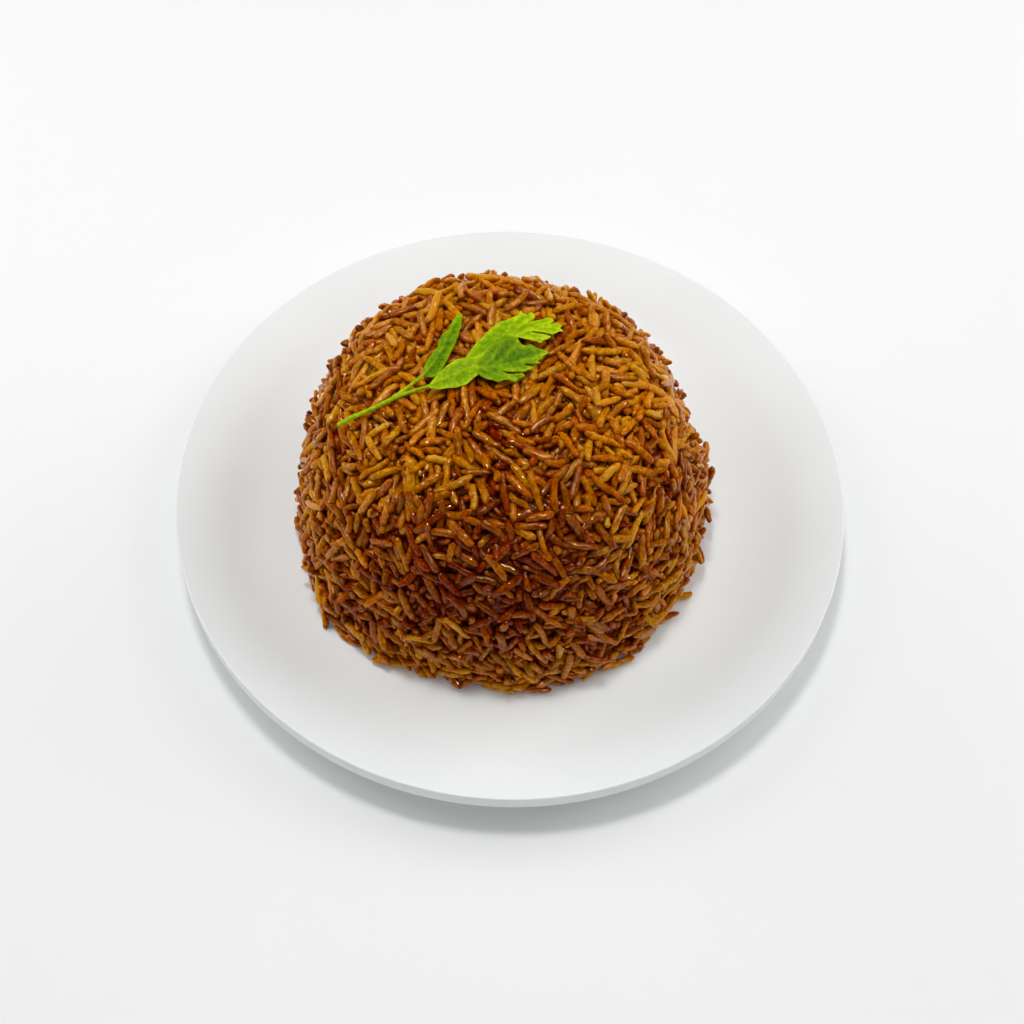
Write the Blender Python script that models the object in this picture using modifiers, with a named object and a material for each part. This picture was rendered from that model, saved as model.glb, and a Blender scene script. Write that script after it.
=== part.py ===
"""A plate of sayadieh: brown rice turned out of a bowl as a steep mound, with a coriander sprig on top.

Units are metres and +Z is up. The plate's axis is the Z axis, its foot ring stands at z = 0,
and the front of the serving faces -Y. The mound is one solid: a core whose surface is heaped
with bumps as long as the rice grains, with the grains that stand proud of it fused on.
"""
import math
import random

import bmesh
import bpy
import numpy as np
from mathutils import Matrix, Vector

MM = 0.001
FITTING_GAP = 0.3 * MM          # left between pieces that rest on each other
WELD = 0.001 * MM

# Plate: flat in the middle, with a wall that curves up, runs straight, and ends in an upright edge.
PLATE_RADIUS = 120 * MM
PLATE_HEIGHT = 20.8 * MM
PLATE_THICKNESS = 4.2 * MM      # in the middle; the wall grows to the height of its edge
WELL_RADIUS = 77 * MM           # where the flat middle ends
WALL_ARC_RADIUS = 56 * MM       # inner face of the wall, seen in section
WALL_SLOPE = 24                 # degrees, of the straight part of the wall
WALL_STEPS = 4
EDGE_HEIGHT = 6.6 * MM          # upright outer face of the wall
EDGE_ROUNDING = 0.5 * MM
EDGE_STEPS = 2
TURN_STEPS = 56
FOOT_RADIUS = 72 * MM
FOOT_HEIGHT = 2.8 * MM
FOOT_FLAT = 2.4 * MM            # width of the ring that touches the table
FOOT_CHAMFER = 0.7 * MM

# Mound: its outline is r^SIDE_POWER + z^CROWN_POWER = 1, over the tops of the grains.
MOUND_CENTRE = (-3.5 * MM, -1.9 * MM)
MOUND_RADIUS = 73.2 * MM
MOUND_HEIGHT = 79 * MM
SIDE_POWER = 4.8
CROWN_POWER = 1.7
CORE_SUBDIVISIONS = 7
CORE_SHARE_KEPT = 0.027         # share of the dense core's faces that stay
BASE_INSET = 3 * MM             # flat underside, drawn in from the core's edge

# Swells and hollows of the heap: azimuth in degrees, share of the height, amount outwards.
SWELLS = (
    (358, 0.25, 1.3 * MM),
    (304, 0.05, 1.4 * MM),
    (256, 0.05, -2.2 * MM),
    (224, 0.05, 2.2 * MM),
    (183, 0.25, -1.4 * MM),
    (152, 0.65, 1.0 * MM),
    (122, 0.80, 1.2 * MM),
    (68, 0.82, -1.3 * MM),
    (18, 0.58, -2.0 * MM),
)
SWELL_SPREAD = math.radians(15)
SWELL_HEIGHT_SPREAD = 0.22

# Rice: long grains, cooked.
GRAIN_LENGTH = 11 * MM
GRAIN_WIDTH = 2.6 * MM
GRAIN_BEND = 0.8 * MM
GRAIN_SIDES = 5
GRAIN_BANDS = 3
BUMP_COUNT = 560
BUMP_WIDTH = 4.8 * MM
RELIEF_DEPTH = 2.0 * MM
PROUD_COUNT = 300               # grains that lie on the heap with most of their form showing
PROUD_TIP_OUT = math.radians(12)
GRAIN_SINK = 0.7 * MM           # how far a grain's middle lies inside the heap's outline
SINK_UNDER_SPRIG = 1.0 * MM     # the same where the sprig lies on the grains
GOLDEN_ANGLE = math.pi * (3 - math.sqrt(5))

# Grains that break the heap's outline: azimuth, height over the base, turn from level, and
# how far one tip turns outwards, all angles in degrees.
STRAGGLERS = (
    (272, 1.9 * MM, 0, 14),
    (281, 1.9 * MM, 3, 16),
    (305, 2.2 * MM, 3, 18),
    (238, 3.0 * MM, 30, 20),
    (218, 4.0 * MM, -32, 22),
    (213, 9.0 * MM, -30, 15),
    (2, 21 * MM, 62, 16),
    (358, 14 * MM, -55, 14),
    (46, 66 * MM, 70, 24),
    (50, 63 * MM, 40, 16),
    (88, 70 * MM, 64, 18),
)

# Sprig: a thin stem that forks, a folded side leaflet, and a leaf cut into toothed lobes.
# Places are (x, y, height over the heap's outline).
STEM_POINTS = (
    (-57 * MM, -14.9 * MM, 4.0 * MM),
    (-52.8 * MM, -14.1 * MM, 3.1 * MM),
    (-47.6 * MM, -13.3 * MM, 2.2 * MM),
    (-42.2 * MM, -11 * MM, 1.6 * MM),
    (-36.2 * MM, -8.2 * MM, 1.4 * MM),
    (-31 * MM, -6.4 * MM, 1.4 * MM),
    (-26 * MM, -4.6 * MM, 1.7 * MM),
    (-20 * MM, -1.5 * MM, 1.9 * MM),
)
STEM_RADIUS = 0.95 * MM
SIDE_STEM_POINTS = (
    (-40 * MM, -10 * MM, 1.5 * MM),
    (-36 * MM, -6.8 * MM, 1.5 * MM),
    (-32.6 * MM, -3.6 * MM, 1.7 * MM),
    (-29.6 * MM, -0.6 * MM, 1.9 * MM),
    (-28.2 * MM, 2.4 * MM, 1.8 * MM),
)
SIDE_STEM_RADIUS = 0.7 * MM
STEM_TAPER = 0.6                # radius at the far end, as a share
LEAF_THICKNESS = 0.5 * MM
LEAF_RINGS = 5
LEAF_CREASE = 0.8 * MM          # half width of the rounded fold along a midrib
LEAF_FIRST_RING = 0.12          # innermost ring, as a share of the reach
LEAF_MARGIN_STEPS = 2           # outline points between one tooth and the next notch

# Leaves: base, azimuth of the midrib, teeth as (degrees from the midrib, reach), then the
# width of a tooth in degrees, how steeply the two halves fold up, and the rise of the tip.
LEAVES = {
    "side_leaflet": {
        "base": (-30.6 * MM, -1.8 * MM, 1.8 * MM),
        "azimuth": 68,
        "teeth": ((16, 12 * MM), (4, 20 * MM), (-1, 29.5 * MM), (-14, 17 * MM)),
        "tooth_width": 26,
        "fold": 0.7,
        "tip_rise": 1.0 * MM,
    },
    "cut_leaf": {
        "base": (-29 * MM, -6.0 * MM, 1.8 * MM),
        "azimuth": 28,
        "teeth": (
            (23, 33 * MM),
            (19.5, 43.5 * MM),
            (13.5, 45 * MM),
            (7, 50 * MM),
            (1, 51 * MM),
            (-2.5, 43.5 * MM),
            (-7.5, 42 * MM),
            (-14, 35.5 * MM),
            (-20, 31.5 * MM),
            (-25, 24 * MM),
        ),
        "tooth_width": 9,
        "fold": 0.13,
        "tip_rise": 1.4 * MM,
    },
}
LEAF_WAVE = 0.45 * MM
LEAF_WAVE_LENGTH = 9 * MM
CLEAR_OF_SPRIG = 7 * MM         # grains nearer than this to the sprig's midribs lie flat

FOOT_UNDERSIDE = 0.0
WELL_UNDERSIDE = FOOT_HEIGHT
WELL_TOP = WELL_UNDERSIDE + PLATE_THICKNESS
MOUND_BASE = WELL_TOP + FITTING_GAP


def clear_scene():
    """Remove whatever the file opened with."""
    for thing in list(bpy.data.objects):
        bpy.data.objects.remove(thing, do_unlink=True)


def add_collection(name):
    """A new collection in the scene."""
    group = bpy.data.collections.new(name)
    bpy.context.scene.collection.children.link(group)
    return group


def add_object(name, mesh, group):
    """A new object for the mesh, in the collection."""
    thing = bpy.data.objects.new(name, mesh)
    group.objects.link(thing)
    return thing


def linear(level):
    """An 8-bit display level as linear light."""
    share = level / 255
    return share / 12.92 if share <= 0.04045 else ((share + 0.055) / 1.055) ** 2.4


def make_material(name, display_colour, roughness):
    """A plain non-metal surface, with its colour in 8-bit display levels."""
    material = bpy.data.materials.new(name)
    material.use_nodes = True
    shader = material.node_tree.nodes["Principled BSDF"]
    shader.inputs["Base Color"].default_value = [linear(level) for level in display_colour] + [1]
    shader.inputs["Roughness"].default_value = roughness
    shader.inputs["Metallic"].default_value = 0.0
    return material


def evaluated_mesh(thing):
    """New mesh data with the object's modifiers applied."""
    graph = bpy.context.evaluated_depsgraph_get()
    return bpy.data.meshes.new_from_object(thing.evaluated_get(graph), depsgraph=graph)


def swap_mesh(thing, mesh):
    """Give the object its final mesh, without modifiers."""
    old = thing.data
    thing.modifiers.clear()
    thing.data = mesh
    bpy.data.meshes.remove(old)


def fuse(body, pieces, solver):
    """Join a collection of closed pieces to the body in one Boolean union, then remove them."""
    union = body.modifiers.new("fuse", "BOOLEAN")
    union.operation = "UNION"
    union.operand_type = "COLLECTION"
    union.collection = pieces
    union.solver = solver
    swap_mesh(body, evaluated_mesh(body))
    for piece in list(pieces.objects):
        bpy.data.objects.remove(piece, do_unlink=True)
    bpy.data.collections.remove(pieces)


def keep_outer_shell(mesh):
    """Drop sealed hollows and loose scraps, and keep the shell with the most faces."""
    work = bmesh.new()
    work.from_mesh(mesh)
    waiting = set(work.verts)
    shells = []
    while waiting:
        shell = {waiting.pop()}
        edge_of_shell = list(shell)
        while edge_of_shell:
            vertex = edge_of_shell.pop()
            for edge in vertex.link_edges:
                other = edge.other_vert(vertex)
                if other not in shell:
                    shell.add(other)
                    edge_of_shell.append(other)
        waiting -= shell
        shells.append(shell)
    shells.sort(key=len)
    for scrap in shells[:-1]:
        bmesh.ops.delete(work, geom=list(scrap), context="VERTS")
    bmesh.ops.triangulate(work, faces=work.faces)
    work.to_mesh(mesh)
    work.free()


# ---------------------------------------------------------------------------- plate

def arc(centre, radius, start, end, steps):
    """Points (r, z) along an arc, from one angle to the other in degrees."""
    angles = [math.radians(start + (end - start) * i / steps) for i in range(steps + 1)]
    return [(centre[0] + radius * math.cos(a), centre[1] + radius * math.sin(a)) for a in angles]


def plate_profile():
    """The plate's section from the middle of the well, over the edge, to the middle underneath."""
    arc_centre = (WELL_RADIUS, WELL_TOP + WALL_ARC_RADIUS)
    inner_wall = arc(arc_centre, WALL_ARC_RADIUS, -90, WALL_SLOPE - 90, WALL_STEPS)
    outer_wall = arc(arc_centre, WALL_ARC_RADIUS + PLATE_THICKNESS, WALL_SLOPE - 90, -90, WALL_STEPS)
    rounding_middle = PLATE_RADIUS - EDGE_ROUNDING
    upper_middle = (rounding_middle, PLATE_HEIGHT - EDGE_ROUNDING)
    lower_middle = (rounding_middle, PLATE_HEIGHT - EDGE_HEIGHT + EDGE_ROUNDING)
    upper_rounding = arc(upper_middle, EDGE_ROUNDING, 90 + WALL_SLOPE, 0, EDGE_STEPS)
    lower_rounding = arc(lower_middle, EDGE_ROUNDING, 0, WALL_SLOPE - 90, EDGE_STEPS)

    foot_inner = FOOT_RADIUS - FOOT_FLAT - 2 * FOOT_CHAMFER
    foot = [
        (FOOT_RADIUS, WELL_UNDERSIDE),
        (FOOT_RADIUS, FOOT_CHAMFER),
        (FOOT_RADIUS - FOOT_CHAMFER, FOOT_UNDERSIDE),
        (foot_inner + FOOT_CHAMFER, FOOT_UNDERSIDE),
        (foot_inner, FOOT_CHAMFER),
        (foot_inner, WELL_UNDERSIDE),
    ]
    wall = inner_wall + upper_rounding + lower_rounding + outer_wall
    return [(0, WELL_TOP)] + wall + foot + [(0, WELL_UNDERSIDE)]


def make_plate(group, material):
    """Turn the plate's section about the Z axis."""
    points = [(radius, 0, height) for radius, height in plate_profile()]
    links = [(i, i + 1) for i in range(len(points) - 1)]
    mesh = bpy.data.meshes.new("plate_section")
    mesh.from_pydata(points, links, [])
    plate = add_object("plate", mesh, group)
    turn = plate.modifiers.new("turn", "SCREW")
    turn.steps = TURN_STEPS
    turn.render_steps = TURN_STEPS
    turn.use_merge_vertices = True
    turn.merge_threshold = WELD
    turn.use_smooth_shade = True
    plate.data.materials.append(material)
    return plate


# ---------------------------------------------------------------------------- mound

def outline_scale(x, y, z):
    """How far to stretch points about the base's centre to bring them onto the heap's outline."""
    across = np.hypot(x, y) / MOUND_RADIUS
    up = np.maximum(z, 0) / MOUND_HEIGHT
    low = np.full_like(across, 0.01)
    high = np.full_like(across, 4.0)
    for _ in range(50):
        middle = (low + high) / 2
        outside = (middle * across) ** SIDE_POWER + (middle * up) ** CROWN_POWER > 1
        high = np.where(outside, middle, high)
        low = np.where(outside, low, middle)
    return (low + high) / 2


def outline_normals(points):
    """Outward directions of the heap's outline at points on it."""
    across = np.hypot(points[:, 0], points[:, 1])
    steepness = SIDE_POWER * across ** (SIDE_POWER - 1) / MOUND_RADIUS ** SIDE_POWER
    height = np.maximum(points[:, 2], 0)
    rise = CROWN_POWER * height ** (CROWN_POWER - 1) / MOUND_HEIGHT ** CROWN_POWER
    safe_across = np.maximum(across, 1e-9)
    normals = np.stack(
        [steepness * points[:, 0] / safe_across, steepness * points[:, 1] / safe_across, rise], axis=1
    )
    return normals / np.linalg.norm(normals, axis=1)[:, None]


def outline_height(x, y):
    """Height of the heap's outline over the table, at a place seen from above."""
    across = math.hypot(x - MOUND_CENTRE[0], y - MOUND_CENTRE[1]) / MOUND_RADIUS
    return MOUND_BASE + MOUND_HEIGHT * max(0.0, 1 - across ** SIDE_POWER) ** (1 / CROWN_POWER)


def swell(points):
    """How far the heap's swells and hollows move points of its outline, outwards."""
    azimuth = np.arctan2(points[:, 1], points[:, 0])
    share = points[:, 2] / MOUND_HEIGHT
    total = np.zeros(len(points))
    for degrees, height_share, amount in SWELLS:
        turn = np.angle(np.exp(1j * (azimuth - math.radians(degrees))))
        distance = (turn / SWELL_SPREAD) ** 2 + ((share - height_share) / SWELL_HEIGHT_SPREAD) ** 2
        total += amount * np.exp(-distance)
    return total


def places_on_heap(count, first_turn):
    """Evenly spread points on the heap's outline, from its top down to its base."""
    way = np.linspace(0, 1, 1500)
    angle = math.pi / 2 * (1 - way ** 3)
    radius = MOUND_RADIUS * np.cos(angle) ** (2 / SIDE_POWER)
    height = MOUND_HEIGHT * np.sin(angle) ** (2 / CROWN_POWER)
    steps = np.hypot(np.diff(radius), np.diff(height))
    area = np.concatenate([[0], np.cumsum((radius[1:] + radius[:-1]) / 2 * steps)])
    wanted = (np.arange(count) + 0.5) / count * area[-1]
    ring_radius = np.interp(wanted, area, radius)
    azimuth = first_turn + np.arange(count) * GOLDEN_ANGLE
    return np.stack(
        [ring_radius * np.cos(azimuth), ring_radius * np.sin(azimuth), np.interp(wanted, area, height)],
        axis=1,
    )


def level_directions(normals):
    """Level directions along the heap's surface, one for each normal."""
    level = np.stack([-normals[:, 1], normals[:, 0], np.zeros(len(normals))], axis=1)
    length = np.linalg.norm(level, axis=1)
    level[length < 1e-6] = (1, 0, 0)
    return level / np.maximum(length, 1e-6)[:, None]


def directions_on_heap(normals, turns):
    """Directions along the surface, turned from level by an angle for each place."""
    level = level_directions(normals)
    slope = np.cross(normals, level)
    return level * np.cos(turns)[:, None] + slope * np.sin(turns)[:, None]


def bump_relief(points):
    """Height from 0 to 1 of bumps the length of grains, at points on the heap's outline."""
    draws = np.random.default_rng(11)
    places = places_on_heap(BUMP_COUNT, 0.4)
    normals = outline_normals(places)
    places = places + draws.normal(0, 0.6 * MM, places.shape)
    directions = directions_on_heap(normals, draws.uniform(0, math.pi, BUMP_COUNT))
    half_width = BUMP_WIDTH / 2 * draws.uniform(0.85, 1.15, BUMP_COUNT)
    half_length = GRAIN_LENGTH / 2 * draws.uniform(0.75, 1.15, BUMP_COUNT)
    rise = draws.uniform(0.5, 1.0, BUMP_COUNT)
    relief = np.zeros(len(points))
    for i in range(BUMP_COUNT):
        offset = points - places[i]
        near = np.abs(offset).max(axis=1) < half_length[i] + BUMP_WIDTH
        offset = offset[near]
        along = offset @ directions[i]
        aside = np.linalg.norm(offset - along[:, None] * directions[i], axis=1)
        past_end = np.maximum(np.abs(along) - (half_length[i] - half_width[i]), 0)
        distance = np.hypot(aside, past_end) / half_width[i]
        bump = rise[i] * np.sqrt(np.maximum(0, 1 - distance ** 2))
        relief[near] = np.maximum(relief[near], bump)
    return relief


def shape_core(mesh):
    """Mould a unit sphere into the heap: its upper half is the outline, its lower half the base."""
    flat = np.empty(3 * len(mesh.vertices))
    mesh.vertices.foreach_get("co", flat)
    unit = flat.reshape(-1, 3)
    upper = unit[:, 2] >= 0
    stretched = unit * (MOUND_RADIUS, MOUND_RADIUS, MOUND_HEIGHT)
    outline = stretched[upper]
    outline = outline * outline_scale(*outline.T)[:, None]
    outward = swell(outline) + (bump_relief(outline) - 1) * RELIEF_DEPTH
    outline = outline + outline_normals(outline) * outward[:, None]
    outline[:, 2] = np.maximum(outline[:, 2], 0)

    lower = unit[~upper]
    reach = np.arccos(np.clip(-lower[:, 2], -1, 1)) / (math.pi / 2)
    across = np.maximum(np.hypot(lower[:, 0], lower[:, 1]), 1e-9)
    base_radius = (MOUND_RADIUS - RELIEF_DEPTH - BASE_INSET) * reach
    shaped = np.zeros_like(unit)
    shaped[upper] = outline
    shaped[~upper, 0] = lower[:, 0] / across * base_radius
    shaped[~upper, 1] = lower[:, 1] / across * base_radius
    mesh.vertices.foreach_set("co", shaped.ravel())
    mesh.update()


def make_core(group, material):
    """The heap without its proud grains, thinned to few faces."""
    work = bmesh.new()
    bmesh.ops.create_icosphere(work, subdivisions=CORE_SUBDIVISIONS, radius=1)
    mesh = bpy.data.meshes.new("rice_core")
    work.to_mesh(mesh)
    work.free()
    shape_core(mesh)
    core = add_object("rice_mound", mesh, group)
    core.location = (*MOUND_CENTRE, MOUND_BASE)
    core.data.materials.append(material)
    thin = core.modifiers.new("thin", "DECIMATE")
    thin.ratio = CORE_SHARE_KEPT
    swap_mesh(core, evaluated_mesh(core))
    return core


def make_grain(place, direction, normal, length, group):
    """One long grain with tapered ends, lying along a direction and humped along the normal."""
    work = bmesh.new()
    bmesh.ops.create_uvsphere(work, u_segments=GRAIN_SIDES, v_segments=GRAIN_BANDS, radius=1)
    for vertex in work.verts:
        along = vertex.co.z
        vertex.co = Vector((
            vertex.co.x * GRAIN_WIDTH / 2,
            vertex.co.y * GRAIN_WIDTH / 2 + GRAIN_BEND * (0.5 - along * along),
            along * length / 2,
        ))
    bmesh.ops.triangulate(work, faces=work.faces)
    mesh = bpy.data.meshes.new("grain")
    work.to_mesh(mesh)
    work.free()
    out = (normal - direction * normal.dot(direction)).normalized()
    frame = Matrix((out.cross(direction), out, direction)).transposed().to_4x4()
    frame.translation = place
    mesh.transform(frame)
    return add_object("grain", mesh, group)


def near_sprig(x, y):
    """Whether a place seen from above is under the sprig or close beside it."""
    spines = [STEM_POINTS, SIDE_STEM_POINTS]
    for leaf in LEAVES.values():
        base = leaf["base"]
        for angle, reach in leaf["teeth"]:
            turn = math.radians(leaf["azimuth"] + angle)
            spines.append((base, (base[0] + reach * math.cos(turn), base[1] + reach * math.sin(turn))))
    here = Vector((x, y))
    for spine in spines:
        for start, end in zip(spine, spine[1:]):
            first = Vector(start[:2])
            run = Vector(end[:2]) - first
            share = min(1.0, max(0.0, (here - first).dot(run) / run.length_squared))
            if (here - first - run * share).length < CLEAR_OF_SPRIG:
                return True
    return False


def lay_grain(place, turn, tip_out, length, sink, group):
    """A grain sunk in the heap at a place on its outline, with one tip turned outwards."""
    outline_place = np.array([place])
    normals = outline_normals(outline_place)
    along = Vector(directions_on_heap(normals, np.array([turn]))[0])
    normal = Vector(normals[0])
    axis = along * math.cos(tip_out) + normal * math.sin(tip_out)
    outward = swell(outline_place)[0] - sink + abs(math.sin(tip_out)) * length / 2
    where = Vector(place) + normal * outward + Vector((*MOUND_CENTRE, MOUND_BASE))
    make_grain(where, axis, normal, length, group)


def add_proud_grains(group):
    """Grains spread evenly over the heap, each with one end a little higher unless the sprig is on it."""
    draws = random.Random(23)
    for place in places_on_heap(PROUD_COUNT, 1.3):
        turn = draws.uniform(0, math.pi)
        tip_out = draws.uniform(-PROUD_TIP_OUT, PROUD_TIP_OUT)
        length = GRAIN_LENGTH * draws.uniform(0.8, 1.15)
        sink = GRAIN_SINK
        if place[2] > MOUND_HEIGHT / 2 and near_sprig(place[0] + MOUND_CENTRE[0], place[1] + MOUND_CENTRE[1]):
            tip_out = 0.0
            sink = SINK_UNDER_SPRIG
        too_low = place[2] < abs(math.sin(turn)) * length / 2 + GRAIN_WIDTH
        if not too_low:
            lay_grain(place, turn, tip_out, length, sink, group)


def add_stragglers(group):
    """The single grains that break the heap's outline."""
    for azimuth, height, turn, tip_out in STRAGGLERS:
        angle = math.radians(azimuth)
        radius = MOUND_RADIUS * (1 - (height / MOUND_HEIGHT) ** CROWN_POWER) ** (1 / SIDE_POWER)
        place = (radius * math.cos(angle), radius * math.sin(angle), height)
        lay_grain(place, math.radians(turn), math.radians(tip_out), GRAIN_LENGTH, GRAIN_SINK, group)


def make_rice(group, material):
    """The whole heap as one solid."""
    rice = make_core(group, material)
    grains = add_collection("grains")
    add_proud_grains(grains)
    add_stragglers(grains)
    fuse(rice, grains, "EXACT")
    keep_outer_shell(rice.data)
    return rice


# ---------------------------------------------------------------------------- sprig

def over_heap(x, y, rise):
    """A point at a height over the heap's outline."""
    return Vector((x, y, outline_height(x, y) + rise))


def make_stem(name, points, radius, group):
    """A stem as a closed tube that thins towards its far end."""
    curve = bpy.data.curves.new(name, "CURVE")
    curve.dimensions = "3D"
    curve.bevel_depth = radius
    curve.bevel_resolution = 1
    curve.use_fill_caps = True
    spline = curve.splines.new("POLY")
    spline.points.add(len(points) - 1)
    for i, (point, place) in enumerate(zip(spline.points, points)):
        point.co = (*over_heap(*place), 1)
        point.radius = 1 - (1 - STEM_TAPER) * i / (len(points) - 1)
    tube = add_object(name + "_curve", curve, group)
    mesh = evaluated_mesh(tube)
    work = bmesh.new()
    work.from_mesh(mesh)
    bmesh.ops.remove_doubles(work, verts=work.verts, dist=WELD)
    bmesh.ops.recalc_face_normals(work, faces=work.faces)
    work.to_mesh(mesh)
    work.free()
    stem = add_object(name, mesh, group)
    stem.matrix_world = tube.matrix_world
    bpy.data.objects.remove(tube, do_unlink=True)
    return stem


def leaf_reach(angle, leaf):
    """Distance from a leaf's base to its edge, at an angle from its midrib in degrees."""
    width = leaf["tooth_width"]
    petals = [
        reach * (1 - min(1.0, abs(angle - tooth) / width) ** 1.6)
        for tooth, reach in leaf["teeth"]
    ]
    return max(petals)


def leaf_angles(leaf):
    """Angles of a leaf's outline: each tooth, each notch and the margins down to the base."""
    teeth = [tooth for tooth, _ in leaf["teeth"]]
    margin = 0.75 * leaf["tooth_width"]
    stops = [teeth[0] + margin] + teeth + [teeth[-1] - margin]
    angles = []
    for start, end in zip(stops, stops[1:]):
        angles += [start + (end - start) * i / LEAF_MARGIN_STEPS for i in range(LEAF_MARGIN_STEPS)]
    return angles + [stops[-1]]


def make_leaf(name, leaf, group):
    """A wavy leaf: a fan of rings out to its toothed edge, folded up along the midrib."""
    angles = leaf_angles(leaf)
    longest = max(reach for _, reach in leaf["teeth"])
    azimuth = math.radians(leaf["azimuth"])
    base_x, base_y, base_rise = leaf["base"]

    def surface_point(angle, share):
        reach = leaf_reach(angle, leaf) * share
        along = reach * math.cos(math.radians(angle))
        aside = reach * math.sin(math.radians(angle))
        x = base_x + along * math.cos(azimuth) - aside * math.sin(azimuth)
        y = base_y + along * math.sin(azimuth) + aside * math.cos(azimuth)
        wave = LEAF_WAVE * math.sin(2 * math.pi * reach / LEAF_WAVE_LENGTH + math.radians(9 * angle))
        fold = math.hypot(aside, LEAF_CREASE) - LEAF_CREASE
        rise = base_rise + leaf["fold"] * fold + wave * share
        rise += leaf["tip_rise"] * (reach / longest) ** 2
        return over_heap(x, y, rise)

    shares = [
        LEAF_FIRST_RING + (1 - LEAF_FIRST_RING) * ring / LEAF_RINGS for ring in range(LEAF_RINGS + 1)
    ]
    work = bmesh.new()
    rings = [[work.verts.new(surface_point(angle, share)) for angle in angles] for share in shares]
    for inner, outer in zip(rings, rings[1:]):
        for i in range(len(angles) - 1):
            work.faces.new((inner[i], inner[i + 1], outer[i + 1], outer[i]))
    bmesh.ops.triangulate(work, faces=work.faces)
    mesh = bpy.data.meshes.new(name)
    work.to_mesh(mesh)
    work.free()
    blade = add_object(name, mesh, group)
    solid = blade.modifiers.new("thickness", "SOLIDIFY")
    solid.thickness = LEAF_THICKNESS
    solid.offset = 0
    return blade


def make_sprig(group, material):
    """The stems and leaves joined into one solid."""
    sprig = make_stem("coriander_sprig", STEM_POINTS, STEM_RADIUS, group)
    pieces = add_collection("sprig_pieces")
    make_stem("side_stem", SIDE_STEM_POINTS, SIDE_STEM_RADIUS, pieces)
    for name, leaf in LEAVES.items():
        make_leaf(name, leaf, pieces)
    fuse(sprig, pieces, "MANIFOLD")     # the exact solver leaves open edges where thin leaves cross
    keep_outer_shell(sprig.data)
    sprig.data.materials.clear()
    sprig.data.materials.append(material)
    return sprig


def main():
    clear_scene()
    serving = add_collection("plate_of_sayadieh")
    make_plate(serving, make_material("white_glaze", (228, 229, 225), 0.18))
    make_rice(serving, make_material("brown_rice", (126, 64, 19), 0.45))
    make_sprig(serving, make_material("coriander_green", (126, 153, 21), 0.5))


main()
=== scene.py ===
"""The look of the plate of sayadieh: loose cooked grains, a glazed plate and a coriander sprig.

Units are metres and +Z is up. The plate's axis is the Z axis and the front of the serving faces
-Y, as in the frame. Grains are laid in three layers under the heap's outline and pushed apart as
rods until they lie against each other. Then each is given one of several forms, sized and turned.
"""
from math import cos, pi, radians, sin, sqrt

import bpy
import numpy as np
from mathutils import Matrix, Vector
from mathutils.geometry import delaunay_2d_cdt
from mathutils.kdtree import KDTree


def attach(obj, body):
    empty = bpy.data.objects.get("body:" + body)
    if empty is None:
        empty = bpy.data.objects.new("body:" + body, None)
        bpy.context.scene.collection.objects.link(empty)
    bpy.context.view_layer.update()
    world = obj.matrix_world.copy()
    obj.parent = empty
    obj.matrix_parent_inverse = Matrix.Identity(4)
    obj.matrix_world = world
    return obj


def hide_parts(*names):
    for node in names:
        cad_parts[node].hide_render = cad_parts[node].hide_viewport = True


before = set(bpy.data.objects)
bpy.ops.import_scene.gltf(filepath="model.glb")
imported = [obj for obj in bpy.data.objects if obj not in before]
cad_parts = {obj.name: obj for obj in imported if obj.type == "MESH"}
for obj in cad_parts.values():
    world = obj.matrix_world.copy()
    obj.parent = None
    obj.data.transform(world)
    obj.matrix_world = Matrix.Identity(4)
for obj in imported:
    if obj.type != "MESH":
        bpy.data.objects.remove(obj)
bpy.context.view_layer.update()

MM = 0.001

# Camera, fitted to the plate's rim in the photo.
CAMERA_TARGET = (0.75 * MM, -10.9 * MM, 20.8 * MM)
CAMERA_DISTANCE = 600 * MM
CAMERA_ELEVATION = radians(58.57)
CAMERA_ROLL = radians(2.32)
CAMERA_LENS = 59.1
CAMERA_SENSOR = 36.0

# Plate, the same section as the CAD's.
PLATE_RADIUS = 120 * MM
PLATE_THICKNESS = 4.2 * MM
PLATE_HEIGHT = 20.8 * MM
WELL_RADIUS = 77 * MM
WALL_ARC_RADIUS = 56 * MM
WALL_SLOPE = 24  # degrees, of the straight part of the wall
EDGE_ROUNDING = 0.5 * MM
EDGE_HEIGHT = 6.6 * MM  # upright outer face of the wall
FOOT_RADIUS = 72 * MM
FOOT_HEIGHT = 2.8 * MM
FOOT_FLAT = 2.4 * MM
FOOT_CHAMFER = 0.7 * MM
WELL_TOP = FOOT_HEIGHT + PLATE_THICKNESS
WALL_STEPS = 14
EDGE_STEPS = 6
TURN_STEPS = 192

# Heap: its outline, over the tops of the grains, is r^SIDE_POWER + z^CROWN_POWER = 1 in shares of
# its radius and height.
MOUND_BASE = WELL_TOP + 0.3 * MM
MOUND_CENTRE = np.array([-3.5 * MM, -1.9 * MM, MOUND_BASE])
MOUND_RADIUS = 73.2 * MM
MOUND_HEIGHT = 79 * MM
SIDE_POWER = 4.8
CROWN_POWER = 1.7
GOLDEN_ANGLE = pi * (3 - sqrt(5))

# Swells and hollows of the heap: azimuth in degrees, share of the height, amount outwards.
SWELLS = (
    (358, 0.25, 1.3 * MM),
    (304, 0.05, 1.4 * MM),
    (256, 0.05, -2.2 * MM),
    (224, 0.05, 2.2 * MM),
    (183, 0.25, -1.4 * MM),
    (152, 0.65, 1.0 * MM),
    (122, 0.80, 1.2 * MM),
    (68, 0.82, -1.3 * MM),
    (18, 0.58, -2.0 * MM),
)
SWELL_SPREAD = radians(15)
SWELL_HEIGHT_SPREAD = 0.22

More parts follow.
